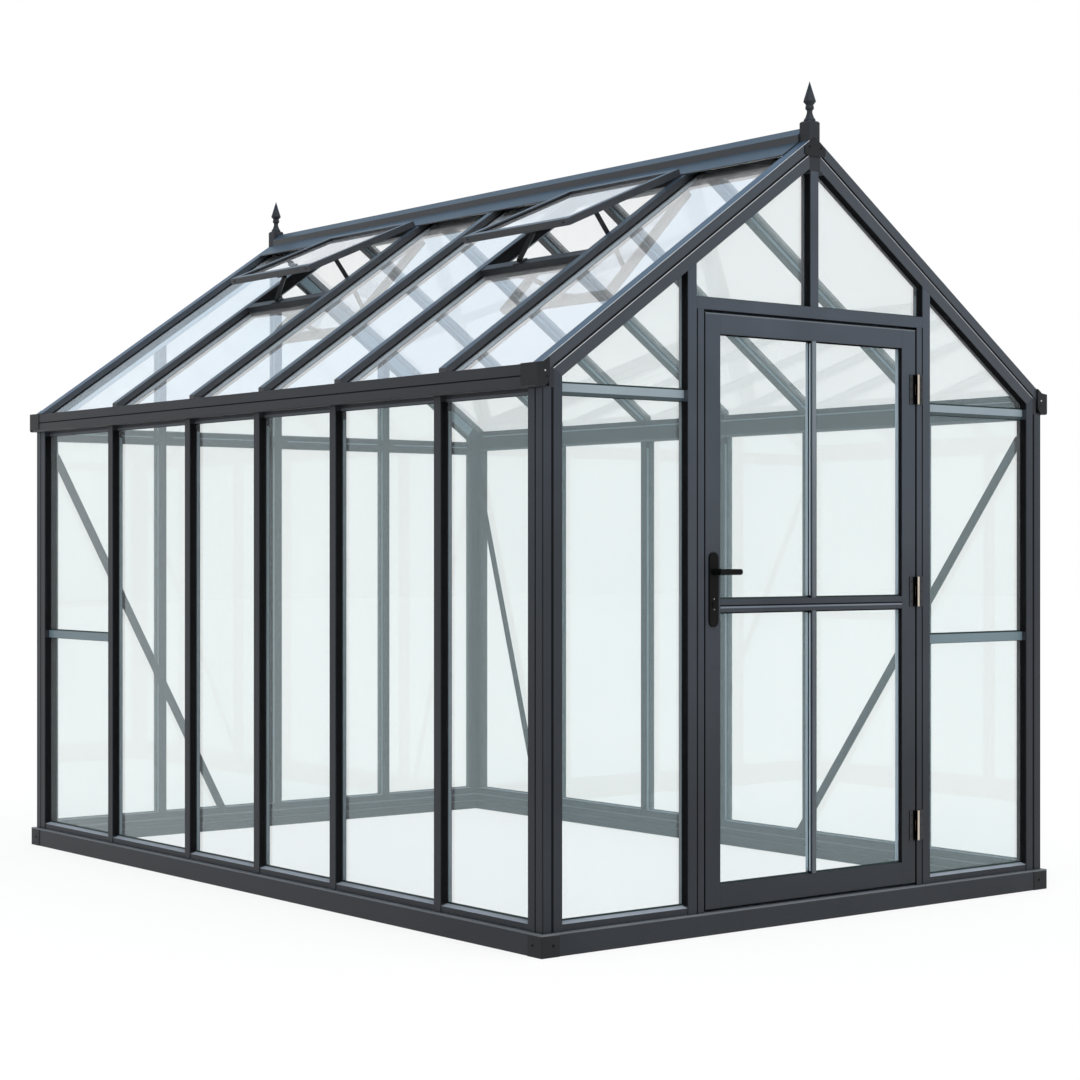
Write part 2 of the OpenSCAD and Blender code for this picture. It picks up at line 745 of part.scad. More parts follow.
module door_header() {
  inside_y = gable_y - bar_d;
  half = mullion_x - slip;
  stop_x = jamb_x - stop_reach - slip;
  top = header_z + header_h;
  color(frame_grey) on_front() difference() {
    union() {
      box([-half, inside_y, header_z], [half, gable_y, top]);
      box([-stop_x, inside_y, header_z - door_end_gap - stop_lap], [stop_x, inside_y + stop_t, top]);
    }
    gable_groove([-half - eps, top - groove], [half + eps, top + eps]);
  }
}

module king_mullion() {
  color(frame_grey) on_front() middle_mullion(header_z + header_h);
}

// Mullion in the middle of a gable, from z0 up to the ridge's end post
module middle_mullion(z0) {
  half = bar_w / 2;
  difference() {
    box([-half, gable_y - bar_d, z0], [half, gable_y, post_z]);
    for (s = [-1, 1]) gable_groove([s * half - groove, z0 - eps], [s * half + groove, post_z + eps]);
  }
}

// Transom of a gable between two distances from the middle, set back and grooved above and below
module gable_transom(x0, x1, z, h, set) {
  difference() {
    box([x0 + slip, gable_y - bar_d, z - h / 2], [x1 - slip, gable_y - set, z + h / 2]);
    for (s = [-1, 1]) gable_groove([x0, z + s * h / 2 - groove], [x1, z + s * h / 2 + groove]);
  }
}

module front_transoms() {
  color(frame_grey) on_front() {
    on_sides() gable_transom(light_x, post_in_x, high_transom_z, high_transom_h, transom_set);
    gable_transom(light_x, post_in_x, low_transom_z, transom_h, transom_set);
  }
}

module left_wall_transom() {
  bay = bays[last_bay];
  color(frame_grey) on_left() difference() {
    box([wall_x - bar_d, bay[0] + slip, wall_transom_z - transom_h / 2],
      [wall_x - transom_set, bay[1] - slip, wall_transom_z + transom_h / 2]);
    for (s = [-1, 1]) translate([wall_x - groove_in, bay[0], wall_transom_z + s * transom_h / 2 - groove])
      cube([groove_in - groove_out, bay[1] - bay[0], 2 * groove]);
  }
}

module back_mullions() {
  near = back_mullion_x - bar_w / 2;
  far = back_mullion_x + bar_w / 2;
  color(frame_grey) {
    middle_mullion(base_h);
    on_sides() difference() {
      gable_upright(near, far, base_h);
      gable_groove([near - eps, base_h - eps], [near + groove, roof_z]);
      gable_groove([far - groove, base_h - eps], [far + eps, roof_z]);
    }
  }
}

// Bays of the back gable's right half
back_bays = [[bar_w / 2, back_mullion_x - bar_w / 2], [back_mullion_x + bar_w / 2, post_in_x]];

module back_transoms() {
  low = back_transom_z - line_w / 2;
  color(frame_grey) on_sides() for (bay = back_bays) difference() {
    gable_transom(bay[0], bay[1], back_transom_z, back_transom_h, 0);
    for (y = [gable_y, gable_y - bar_d])
      box([bay[0], y - line_d, low], [bay[1], y + line_d, low + line_w]);
  }
}

module wind_braces() {
  side_x = wall_x - bar_d;
  back_y = gable_y - bar_d;
  end_x = side_x - brace_w / 2 - slip;
  end_y = back_y - brace_w / 2 - slip;
  color(frame_grey) {
    along_x(side_x - brace_t, side_x)
      flat_bar([-end_y, eaves_z - long_brace_drop], [-end_y + long_brace_run, brace_foot_z], brace_w);
    along_x(side_x - brace_t, side_x)
      flat_bar([end_y, eaves_z - short_brace_drop], [end_y - short_brace_run, brace_foot_z], brace_w);
    along_y(back_y - brace_t, back_y)
      flat_bar([-end_x, eaves_z - back_brace_drop], [-back_brace_x, brace_foot_z], brace_w);
  }
}

// Pane of the right wall in a bay, from z0 to z1 between its rails
module wall_pane(bay, z0, z1) {
  box([wall_x - glass_set - glass_t, bay[0] - bite, z0 - bite],
    [wall_x - glass_set, bay[1] + bite, z1 + bite]);
}

module left_wall_glass() {
  color(clear_glass) on_left() {
    for (i = [0:last_bay - 1]) wall_pane(bays[i], sill_top, head_z);
    wall_pane(bays[last_bay], sill_top, wall_transom_z - transom_h / 2);
    wall_pane(bays[last_bay], wall_transom_z + transom_h / 2, head_z);
  }
}

module right_wall_glass() {
  color(clear_glass) for (bay = bays) wall_pane(bay, sill_top, head_z);
}

// Square pane of a gable between two distances from the middle, from z0 to z1
module gable_pane(x0, x1, z0, z1) {
  box([x0 - bite, gable_y - glass_set - glass_t, z0 - bite], [x1 + bite, gable_y - glass_set, z1 + bite]);
}

// Pane of a gable that runs from z0 up to the rafter
module raked_pane(x0, x1, z0) {
  low_x = x0 - bite;
  high_x = x1 + bite;
  edge = bite - rafter_d;
  along_y(gable_y - glass_set - glass_t, gable_y - glass_set) intersection() {
    polygon([[low_x, z0 - bite], [high_x, z0 - bite], [high_x, roof_top(high_x, edge)],
      [low_x, roof_top(low_x, edge)]]);
    translate([0, 0]) square([wall_x, post_z - slip]);
  }
}

module front_gable_glass() {
  high = high_transom_z - high_transom_h / 2;
  color(clear_glass) on_front() {
    on_left() gable_pane(light_x, post_in_x, sill_top, high);
    gable_pane(light_x, post_in_x, sill_top, low_transom_z - transom_h / 2);
    gable_pane(light_x, post_in_x, low_transom_z + transom_h / 2, high);
    on_sides() raked_pane(light_x, post_in_x, high + high_transom_h);
    on_sides() raked_pane(bar_w / 2, mullion_x, header_z + header_h);
  }
}

module back_gable_glass() {
  low = back_transom_z - back_transom_h / 2;
  color(clear_glass) on_sides() for (bay = back_bays) {
    gable_pane(bay[0], bay[1], sill_top, low);
    raked_pane(bay[0], bay[1], low + back_transom_h);
  }
}

// Pane of the right slope in a bay, starting at a distance down the slope
module roof_pane(bay, start) {
  ends = [bay[0] <= -post_in_y ? -gable_y + bar_d : bay[0], bay[1] >= post_in_y ? gable_y - bar_d : bay[1]];
  on_roof() box([start, ends[0] - bite, -glass_set - glass_t], [glass_u1, ends[1] + bite, -glass_set]);
}

module left_roof_glass() {
  color(clear_glass) on_left() for (i = [0:last_bay])
    roof_pane(bays[i], i == front_vent_bay || i == back_vent_bay ? vent_u + bar_w - bite : glass_u0);
}

module right_roof_glass() {
  color(clear_glass) for (bay = bays) roof_pane(bay, glass_u0);
}

module vent_trimmers() {
  half = vent_half - slip;
  low_u = vent_u + bar_w;
  color(frame_grey) on_vents() on_roof() difference() {
    box([vent_u, -half, -bar_d], [low_u, half, -trimmer_drop]);
    box([low_u - groove, -vent_half, -groove_in], [low_u + eps, vent_half, -groove_out]);
  }
}

// Glazing groove of a vent's frame between two corners
module sash_groove(low, high) {
  half = glass_t / 2 + slip;
  box([low[0], low[1], sash_t / 2 - half], [high[0], high[1], sash_t / 2 + half]);
}

module vent_stiles() {
  inner = sash_half - sash_w;
  color(frame_grey) on_vents() on_sash() on_gables() difference() {
    box([0, inner, 0], [sash_l, sash_half, sash_t]);
    sash_groove([-eps, inner - eps], [sash_l + eps, inner + groove]);
  }
}

module vent_rails() {
  inner = sash_half - sash_w;
  half = inner - slip;
  low_l = sash_l - sash_w;
  color(frame_grey) on_vents() on_sash() {
    difference() {
      box([0, -half, 0], [sash_w, half, sash_t]);
      sash_groove([sash_w - groove, -inner], [sash_w + eps, inner]);
    }
    difference() {
      box([low_l, -half, 0], [sash_l, half, sash_t]);
      sash_groove([low_l - eps, -inner], [low_l + groove, inner]);
    }
  }
}

module vent_glass() {
  half = sash_half - sash_w + bite;
  color(clear_glass) on_vents() on_sash() box([sash_w - bite, -half, (sash_t - glass_t) / 2],
    [sash_l - sash_w + bite, half, (sash_t + glass_t) / 2]);
}

// Space of an open sash, slightly enlarged below
module sash_space() { on_sash() box([-sash_l, -sash_half, -slip], [2 * sash_l, sash_half, sash_l]); }

// Opener: a foot on the trimmer, a plate under the sash and a leaning arm with pins between them
module vent_openers() {
  foot_u = vent_u + bar_w / 2;
  foot_n = slip - trimmer_drop;
  head_l = sash_l - sash_w / 2;
  head_n = sash_n + head_l * sin(vent_open);
  half = opener_foot / 2;
  foot = [opener_lean / 2, foot_n + opener_w / 2];
  head = [-opener_lean / 2, head_n - opener_w / 2];
  color(deep_grey) on_vents() difference() {
    union() {
      on_roof() {
        box([vent_u, foot[0] - half, foot_n], [vent_u + bar_w, foot[0] + half, foot_n + fitting_t]);
        translate([foot_u, 0, 0]) {
          along_x(-opener_t / 2, opener_t / 2) flat_bar(foot, head, opener_w);
          for (end = [foot, head]) along_x(-opener_t, opener_t) translate(end) circle(d = fitting_pin_d);
        }
      }
      on_sash() box([sash_l - sash_w, head[0] - half, -slip - fitting_t], [sash_l, head[0] + half, -slip]);
    }
    sash_space();
  }
}

// Side stay: a flat arm between the roof bar on the front side and the sash
module vent_stays() {
  low = [vent_u - stay_rise, -bar_d / 2];
  high = [low[0] + stay_lean, (low[0] + stay_lean) * tan(vent_open)];
  start_y = slip - vent_half;
  color(deep_grey) on_vents() difference() {
    on_roof() {
      along_y(start_y, start_y + fitting_t) flat_bar(low, high, stay_w);
      along_y(start_y, start_y + 2 * fitting_t) translate(low) circle(d = fitting_pin_d);
    }
    sash_space();
  }
}

// Zone of the middle knuckle of a hinge, around its middle height
knuckle_h = hinge_l / 3;

module frame_hinges() {
  clear_x = hinge_x + knuckle_r + hinge_slip;
  bore_gap = knuckle_h / 2 + hinge_slip;
  color(steel) on_front() for (z = hinge_zs) translate([0, 0, z]) {
    box([clear_x, gable_y, -hinge_l / 2], [hinge_x + hinge_leaf_w, gable_y + hinge_leaf_t, hinge_l / 2]);
    for (s = [-1, 1]) {
      low = s > 0 ? bore_gap : -hinge_l / 2;
      high = s > 0 ? hinge_l / 2 : -bore_gap;
      box([hinge_x, gable_y + hinge_leaf_t / 2, low], [clear_x + eps, gable_y + hinge_leaf_t, high]);
      translate([hinge_x, hinge_y, low]) cylinder(r = knuckle_r, h = high - low);
    }
    translate([hinge_x, hinge_y, -hinge_l / 2]) cylinder(r = pin_r, h = hinge_l);
  }
}

module door_hinges() {
  clear_x = hinge_x - knuckle_r - hinge_slip;
  half = knuckle_h / 2;
  leaf_y = door_out_y + hinge_leaf_t;
  color(steel) on_front() for (z = hinge_zs) translate([0, 0, z]) {
    box([hinge_x - hinge_leaf_w, door_out_y, -hinge_l / 2], [clear_x, leaf_y, hinge_l / 2]);
    difference() {
      union() {
        translate([hinge_x, hinge_y, -half]) cylinder(r = knuckle_r, h = 2 * half);
        box([clear_x - eps, door_out_y, -half], [hinge_x, leaf_y, half]);
      }
      translate([hinge_x, hinge_y, -half - eps]) cylinder(r = pin_r + hinge_slip, h = 2 * half + 2 * eps);
    }
  }
}

// Glazing groove of the door between two corners in X and Z
module door_groove(low, high) {
  half = glass_t / 2 + slip;
  box([low[0], door_glass_y - half, low[1]], [high[0], door_glass_y + half, high[1]]);
}

module door_stiles() {
  top = door_z + door_h;
  color(frame_grey) on_front() difference() {
    on_sides() difference() {
      box([rail_x, door_in_y, door_z], [door_w / 2, door_out_y, top]);
      door_groove([rail_x - eps, door_z - eps], [rail_x + groove, top + eps]);
    }
    translate([handle_x, door_out_y + eps, lever_z]) rotate([90, 0, 0])
      cylinder(d = spindle_d + 2 * spindle_slip, h = door_t + 2 * eps);
  }
}

// Rail of the door between two heights, grooved where a pane meets it
module door_rail(z0, z1, pane_below, pane_above) {
  half = rail_x - slip;
  difference() {
    box([-half, door_in_y, z0], [half, door_out_y, z1]);
    if (pane_below) door_groove([-rail_x, z0 - eps], [rail_x, z0 + groove]);
    if (pane_above) door_groove([-rail_x, z1 - groove], [rail_x, z1 + eps]);
  }
}

module door_rails() {
  low = mid_rail_z - mid_rail_h / 2;
  color(frame_grey) on_front() {
    door_rail(door_z, door_z + bottom_rail_h, false, true);
    difference() {
      door_rail(low, low + mid_rail_h, true, true);
      for (y = [door_out_y, door_in_y])
        box([-rail_x, y - line_d, mid_rail_z - line_w / 2], [rail_x, y + line_d, mid_rail_z + line_w / 2]);
    }
    door_rail(top_rail_z, top_rail_z + top_rail_h, true, false);
  }
}

// Depth of the muntins' grooves on each side of the web
muntin_hold = min(bite, (muntin_w - muntin_web) / 2);

// Lower and upper lights of the door
door_lights =[[door_z + bottom_rail_h, mid_rail_z - mid_rail_h / 2],
  [mid_rail_z + mid_rail_h / 2, top_rail_z]];

module door_muntins() {
  half = muntin_w / 2;
  hold = muntin_hold;
  color(frame_grey) on_front() for (light = door_lights) difference() {
    box([-half, door_in_y, light[0] + slip], [half, door_out_y, light[1] - slip]);
    for (s = [-1, 1]) door_groove([s * half - hold, light[0]], [s * half + hold, light[1]]);
  }
}

module door_glass() {
  half = muntin_w / 2;
  hold = muntin_hold - groove_room;
  color(clear_glass) on_front() on_sides() for (light = door_lights)
    box([half - hold, door_glass_y - glass_t / 2, light[0] - bite],
      [rail_x + bite, door_glass_y + glass_t / 2, light[1] + bite]);
}

module handle_plates() {
  half = (handle_plate_h - handle_plate_w) / 2;
  color(black) on_front() for (y = [door_out_y, door_in_y - handle_plate_t]) difference() {
    union() {
      along_y(y, y + handle_plate_t) flat_bar([handle_x, handle_plate_z - half],
        [handle_x, handle_plate_z + half], handle_plate_w);
      along_y(y - (y < door_out_y ? lock_out : 0), y + handle_plate_t + (y < door_out_y ? 0 : lock_out))
        translate([handle_x, lock_z]) circle(d = lock_d);
    }
    translate([handle_x, y + handle_plate_t + eps, lever_z]) rotate([90, 0, 0])
      cylinder(d = spindle_d + 2 * spindle_slip, h = handle_plate_t + 2 * eps);
  }
}

module door_lever() {
  plate_out = door_out_y + handle_plate_t + spindle_slip;
  plate_in = door_in_y - handle_plate_t - spindle_slip;
  arm_out = door_out_y + handle_plate_t + lever_out;
  arm_in = door_in_y - handle_plate_t - lever_out;
  tip = [handle_x + lever_reach - lever_h / 2, lever_z];
  color(black) on_front() {
    along_y(arm_in - eps, arm_out + eps) translate([handle_x, lever_z]) circle(d = spindle_d);
    along_y(plate_out, arm_out + eps) translate([handle_x, lever_z]) circle(d = hub_d);
    along_y(arm_in - eps, plate_in) translate([handle_x, lever_z]) circle(d = hub_d);
    along_y(arm_out, arm_out + lever_t) flat_bar([handle_x, lever_z], tip, lever_h);
    along_y(arm_in - lever_t, arm_in) flat_bar([handle_x, lever_z], tip, lever_h);
  }
}

base_front_rail();
base_back_rail();
base_side_rails();
base_corner_plates();
corner_posts();
left_wall_bars();
right_wall_bars();
left_sills();
right_sills();
gable_sills();
left_gutter();
right_gutter();
gutter_end_caps();
front_rafters();
back_rafters();
left_roof_bars();
right_roof_bars();
ridge();
ridge_end_posts();
apex_plates();
finials();
door_mullions();
door_jambs();
door_header();
king_mullion();
front_transoms();
left_wall_transom();
back_mullions();
back_transoms();
wind_braces();
left_wall_glass();
right_wall_glass();
front_gable_glass();
back_gable_glass();
left_roof_glass();
right_roof_glass();
vent_trimmers();
vent_stiles();
vent_rails();
vent_glass();
vent_openers();
vent_stays();
frame_hinges();
door_stiles();
door_rails();
door_muntins();
door_glass();
door_hinges();
handle_plates();
door_lever();
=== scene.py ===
import json
import math

import bmesh
import bpy
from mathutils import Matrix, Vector


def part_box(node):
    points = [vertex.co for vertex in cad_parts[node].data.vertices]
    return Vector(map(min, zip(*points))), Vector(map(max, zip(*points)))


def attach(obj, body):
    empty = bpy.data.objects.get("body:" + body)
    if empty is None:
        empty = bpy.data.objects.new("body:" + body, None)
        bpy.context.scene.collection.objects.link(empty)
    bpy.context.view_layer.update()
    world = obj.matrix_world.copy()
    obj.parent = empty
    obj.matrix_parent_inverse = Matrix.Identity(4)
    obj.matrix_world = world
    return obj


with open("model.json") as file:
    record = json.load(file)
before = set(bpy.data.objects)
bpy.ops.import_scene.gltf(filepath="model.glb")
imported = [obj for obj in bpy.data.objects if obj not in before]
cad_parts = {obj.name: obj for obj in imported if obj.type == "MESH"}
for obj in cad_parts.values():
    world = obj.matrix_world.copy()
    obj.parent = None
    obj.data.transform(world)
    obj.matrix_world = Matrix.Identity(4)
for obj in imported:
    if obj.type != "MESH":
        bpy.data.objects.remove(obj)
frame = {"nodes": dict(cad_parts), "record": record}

scene = bpy.context.scene
nodes = frame["nodes"]
record = frame["record"]
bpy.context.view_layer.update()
print("greenhouse frame:", len(nodes), "nodes")

# camera, off the front left corner at chest height
cameraStand = {
    "place": (-5.685, -7.463, 1.283),
    "turn": -38.21,  # degrees from looking straight at the door gable
    "lens": 76.51,
    "sensor": 36.0,
    "lift": 0.0100,  # share of the picture's height
}


def standCamera(look):
    lens = bpy.data.cameras.new("gardenCamera")
    lens.sensor_width = look["sensor"]
    lens.lens = look["lens"]
    lens.shift_y = look["lift"]
    camera = bpy.data.objects.new("gardenCamera", lens)
    camera.location = look["place"]
    camera.rotation_euler = (math.radians(90), 0, math.radians(look["turn"]))
    scene.collection.objects.link(camera)
    scene.camera = camera


standCamera(cameraStand)


# node trees: start one empty, add a node and set its sockets
def bareTree(owner):
    owner.use_nodes = True
    owner.node_tree.nodes.clear()
    return owner.node_tree


def addNode(tree, kind, sockets=None, **settings):
    node = tree.nodes.new(kind)
    for name, value in settings.items():
        setattr(node, name, value)
    for name, value in (sockets or {}).items():
        node.inputs[name].default_value = value
    return node


def mathNode(tree, operation, first, second, **settings):
    node = addNode(tree, "ShaderNodeMath", operation=operation, **settings)
    for socket, value in zip(node.inputs, (first, second)):
        if isinstance(value, float):
            socket.default_value = value
        else:
            tree.links.new(value, socket)
    return node.outputs[0]


def rampNode(tree, stops):
    ramp = addNode(tree, "ShaderNodeValToRGB")
    while len(ramp.color_ramp.elements) < len(stops):
        ramp.color_ramp.elements.new(0.5)
    for element, (place, colour) in zip(ramp.color_ramp.elements, stops):
        element.position = place
        element.color = (*colour, 1)
    return ramp


def seenRay(tree):
    # 1 for rays that show the backdrop: straight on, mirrored or through glass
    path = addNode(tree, "ShaderNodeLightPath")
    mirrored = mathNode(tree, "ADD", path.outputs["Is Camera Ray"], path.outputs["Is Glossy Ray"])
    return mathNode(tree, "ADD", mirrored, path.outputs["Is Transmission Ray"], use_clamp=True)


# white studio: neutral light from above, a sky that turns blue high up, one soft lamp, white floor
studio = {
    "light": [(0.0, (0.60, 0.60, 0.60)), (1.0, (1.0, 1.0, 1.0))],
    "sky": [
        (0.0, (1.0, 1.0, 1.0)),
        (0.27, (1.0, 1.0, 1.0)),
        (0.45, (0.68, 0.84, 1.0)),
        (1.0, (0.48, 0.72, 1.0)),
    ],
    "fill": 0.90,  # strength of the sky as light
    "lamp": 1.6,
    "lampSpread": 75,
    "lampFrom": (-0.22, -0.76, 0.92),
    "floor": 0.80,  # what the floor throws back
    "floorSeen": 0.24,  # what shows of that, the rest is glow
    "floorGlow": 0.74,
    "floorHalf": 45.0,
}


def paintSky(look):
    world = bpy.data.worlds.new("studioSky")
    scene.world = world
    tree = bareTree(world)
    place = addNode(tree, "ShaderNodeTexCoord")
    split = addNode(tree, "ShaderNodeSeparateXYZ")
    mix = addNode(tree, "ShaderNodeMixShader")
    out = addNode(tree, "ShaderNodeOutputWorld")
    tree.links.new(place.outputs["Generated"], split.inputs[0])
    tree.links.new(seenRay(tree), mix.inputs[0])
    for slot, stops, strength in ((1, look["light"], look["fill"]), (2, look["sky"], 1.0)):
        ramp = rampNode(tree, stops)
        glow = addNode(tree, "ShaderNodeBackground", {"Strength": strength})
        tree.links.new(split.outputs["Z"], ramp.inputs[0])
        tree.links.new(ramp.outputs[0], glow.inputs["Color"])
        tree.links.new(glow.outputs[0], mix.inputs[slot])
    tree.links.new(mix.outputs[0], out.inputs["Surface"])


def hangLamp(look):
    lamp = bpy.data.lights.new("softLamp", "SUN")
    lamp.energy = look["lamp"]
    lamp.angle = math.radians(look["lampSpread"])
    holder = bpy.data.objects.new("softLamp", lamp)
    holder.rotation_euler = Vector(look["lampFrom"]).to_track_quat("Z", "Y").to_euler()
    scene.collection.objects.link(holder)


def floorMaterial(look):
    material = bpy.data.materials.new("whiteFloor")
    tree = bareTree(material)
    matt = addNode(tree, "ShaderNodeBsdfDiffuse", {"Color": (*[look["floor"]] * 3, 1)})
    soft = addNode(tree, "ShaderNodeBsdfDiffuse", {"Color": (*[look["floorSeen"]] * 3, 1)})
    glow = addNode(tree, "ShaderNodeEmission", {"Strength": look["floorGlow"]})
    shown = addNode(tree, "ShaderNodeAddShader")
    mix = addNode(tree, "ShaderNodeMixShader")
    out = addNode(tree, "ShaderNodeOutputMaterial")
    tree.links.new(soft.outputs[0], shown.inputs[0])
    tree.links.new(glow.outputs[0], shown.inputs[1])
    tree.links.new(seenRay(tree), mix.inputs[0])
    tree.links.new(matt.outputs[0], mix.inputs[1])
    tree.links.new(shown.outputs[0], mix.inputs[2])
    tree.links.new(mix.outputs[0], out.inputs["Surface"])
    return material


def layFloor(look):
    half = look["floorHalf"]
    mesh = bpy.data.meshes.new("studioFloor")
    corners = [(-half, -half, 0), (half, -half, 0), (half, half, 0), (-half, half, 0)]
    mesh.from_pydata(corners, [], [(0, 1, 2, 3)])
    mesh.materials.append(floorMaterial(look))
    floor = bpy.data.objects.new("studioFloor", mesh)
    scene.collection.objects.link(floor)


paintSky(studio)
hangLamp(studio)
layFloor(studio)
scene.view_settings.view_transform = "Standard"
print("studio: sky, lamp and floor")

# shapes of the frame: solids of a node, panes of a glass node
weldGap = 0.000002  # corners closer than this are one
hair = 0.0002  # slack when corners are picked by where they lie
flatAngle = 0.01  # radians between faces that count as one flat
sameFacing = 0.999  # cosine between faces that look the same way
mostly = 0.5  # share of a direction that makes it roughly an axis
axisY, axisZ = Vector((0, 1, 0)), Vector((0, 0, 1))


def weldedCopy(node):
    mesh = bmesh.new()
    mesh.from_mesh(nodes[node].data)
    bmesh.ops.remove_doubles(mesh, verts=mesh.verts, dist=weldGap)
    return mesh


def flatCopy(node):
    # with one face for each flat side
    mesh = weldedCopy(node)
    bmesh.ops.dissolve_limit(mesh, angle_limit=flatAngle, verts=mesh.verts, edges=mesh.edges)
    return mesh


def solidsOf(node):
    mesh = weldedCopy(node)
    solids = []
    for first in mesh.verts:
        if first.tag:
            continue
        first.tag = True
        grow = [first]
        corners = []
        while grow:
            vert = grow.pop()
            corners.append(vert.co.copy())
            for edge in vert.link_edges:
                other = edge.other_vert(vert)
                if not other.tag:
                    other.tag = True
                    grow.append(other)
        solids.append(corners)
    mesh.free()
    return solids


def boxOf(corners):
    low = Vector(min(c[i] for c in corners) for i in range(3))
    high = Vector(max(c[i] for c in corners) for i in range(3))
    return low, high


def panesOf(node, towards):
    # outline of each pane on its outer side, counter-clockwise, and that side's direction
    mesh = flatCopy(node)
    biggest = max((f for f in mesh.faces if f.normal.dot(towards) > mostly), key=lambda f: f.calc_area())
    outward = biggest.normal.copy()
    panes = [[v.co.copy() for v in f.verts] for f in mesh.faces if f.normal.dot(outward) > sameFacing]
    mesh.free()
    return panes, outward


def reach(node, outward):
    return max(vert.co.dot(outward) for vert in nodes[node].data.vertices)


def spanOf(corners, direction):
    places = [corner.dot(direction) for corner in corners]
    return min(places), max(places)


def outerSide(corners, axis):
    # where the side lies that looks away from the middle of the house
    low, high = boxOf(corners)
    return high[axis] if low[axis] > 0 else low[axis]


# places that a finish changes at
hingeLine = record["behaviour"]["joints"][0]["pos_m"][0]
knuckleHalf = 0.0078
knuckleShine = 0.0051  # how far the shine goes from the pin towards the door
hingeShade = 0.018  # where the dark beside it starts
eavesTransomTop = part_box("front_transoms")[1].z
eavesTransomLip = 0.0265  # height of the painted light strip over the painted shade strip
lowTransoms = 1.5  # the transoms below this have one tone
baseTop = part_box("base_front_rail")[1].z
baseLip = 0.0046
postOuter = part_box("corner_posts")[1]
postArris = 0.0032
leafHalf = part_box("door_stiles")[1].x
gapSkin = 0.0004  # how deep the painted shade of the gap round the leaf goes
rightJamb = max(solidsOf("door_jambs"), key=lambda corners: corners[0].x)
jambInner = min(c.x for c in rightJamb if c.y < boxOf(rightJamb)[0].y + hair)
middleRail = sorted((boxOf(corners) for corners in solidsOf("door_rails")), key=lambda box: box[0].z)[1]
middleRailLine = (middleRail[0].z + middleRail[1].z) / 2
middleRailShine = (0.0085, 0.0025)  # from here to here below the line
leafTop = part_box("door_stiles")[1].z
leafLip = 0.0042
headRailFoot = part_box("left_gutter")[0].z
headRailLip = 0.009
far = 9.0  # past the end of the house

# finishes: colour and gloss wander between two values, grain is the fine relief
# up paints a highlight on the faces that look up, bands tint what lies between two distances from the middle
# (painted highlights and shade, and the hinge leaves' dark paint), rise paints more and more light between two
# heights
coat = {
    "dark": (0.0243, 0.0275, 0.0325), "light": (0.0315, 0.0352, 0.0412),
    "patch": 2.6, "rough": (0.34, 0.48), "grain": 1100.0, "relief": 0.00006, "gloss": 0.15,
}
fitting = {
    "dark": (0.0105, 0.0118, 0.0135), "light": (0.0155, 0.0170, 0.0195),
    "patch": 9.0, "rough": (0.36, 0.48), "grain": 900.0, "relief": 0.00008, "gloss": 0.17,
}
# painted shade, black in the gap round the door leaf
gapShade = (0.10, 0.10, 0.11)
# painted sky reflection: faces that look up are tinted light blue; the gloss is real
glossAndPaintedSky = {"gloss": 0.42, "up": (1.2, 1.7, 2.1)}
# painted sky reflection: lighter and bluer higher up on the gable, posts, rafters and muntins
gablePaintedRise = {"from": 0.4, "to": 2.05, "tint": (2.15, 2.3, 2.45)}
postPaintedRise = {"from": 0.9, "to": 1.9, "tint": (1.4, 1.5, 1.6)}
rafterPaintedRise = {"from": 1.2, "to": 2.05, "tint": (1.2, 1.35, 1.5)}
muntinPaintedRise = {"from": 0.9, "to": 1.8, "tint": (2.0, 2.1, 2.0)}
# painted highlight along the top edge of the door leaf
leafTopHighlight = {"Z": (leafTop - leafLip, far), "tint": (2.3, 2.2, 2.0)}
# painted highlight along the top edge of the base
baseTopHighlight = {"Z": (baseTop - baseLip, far), "tint": (4.6, 4.5, 4.2)}
hingeDark = (0.095, 0.115, 0.150)
# painted highlight strips: a light blue tone on thin strips
lightStripLook = {"patch": 3.0, "rough": (0.34, 0.46), "grain": 1000.0, "relief": 0.00005, "gloss": 0.30}
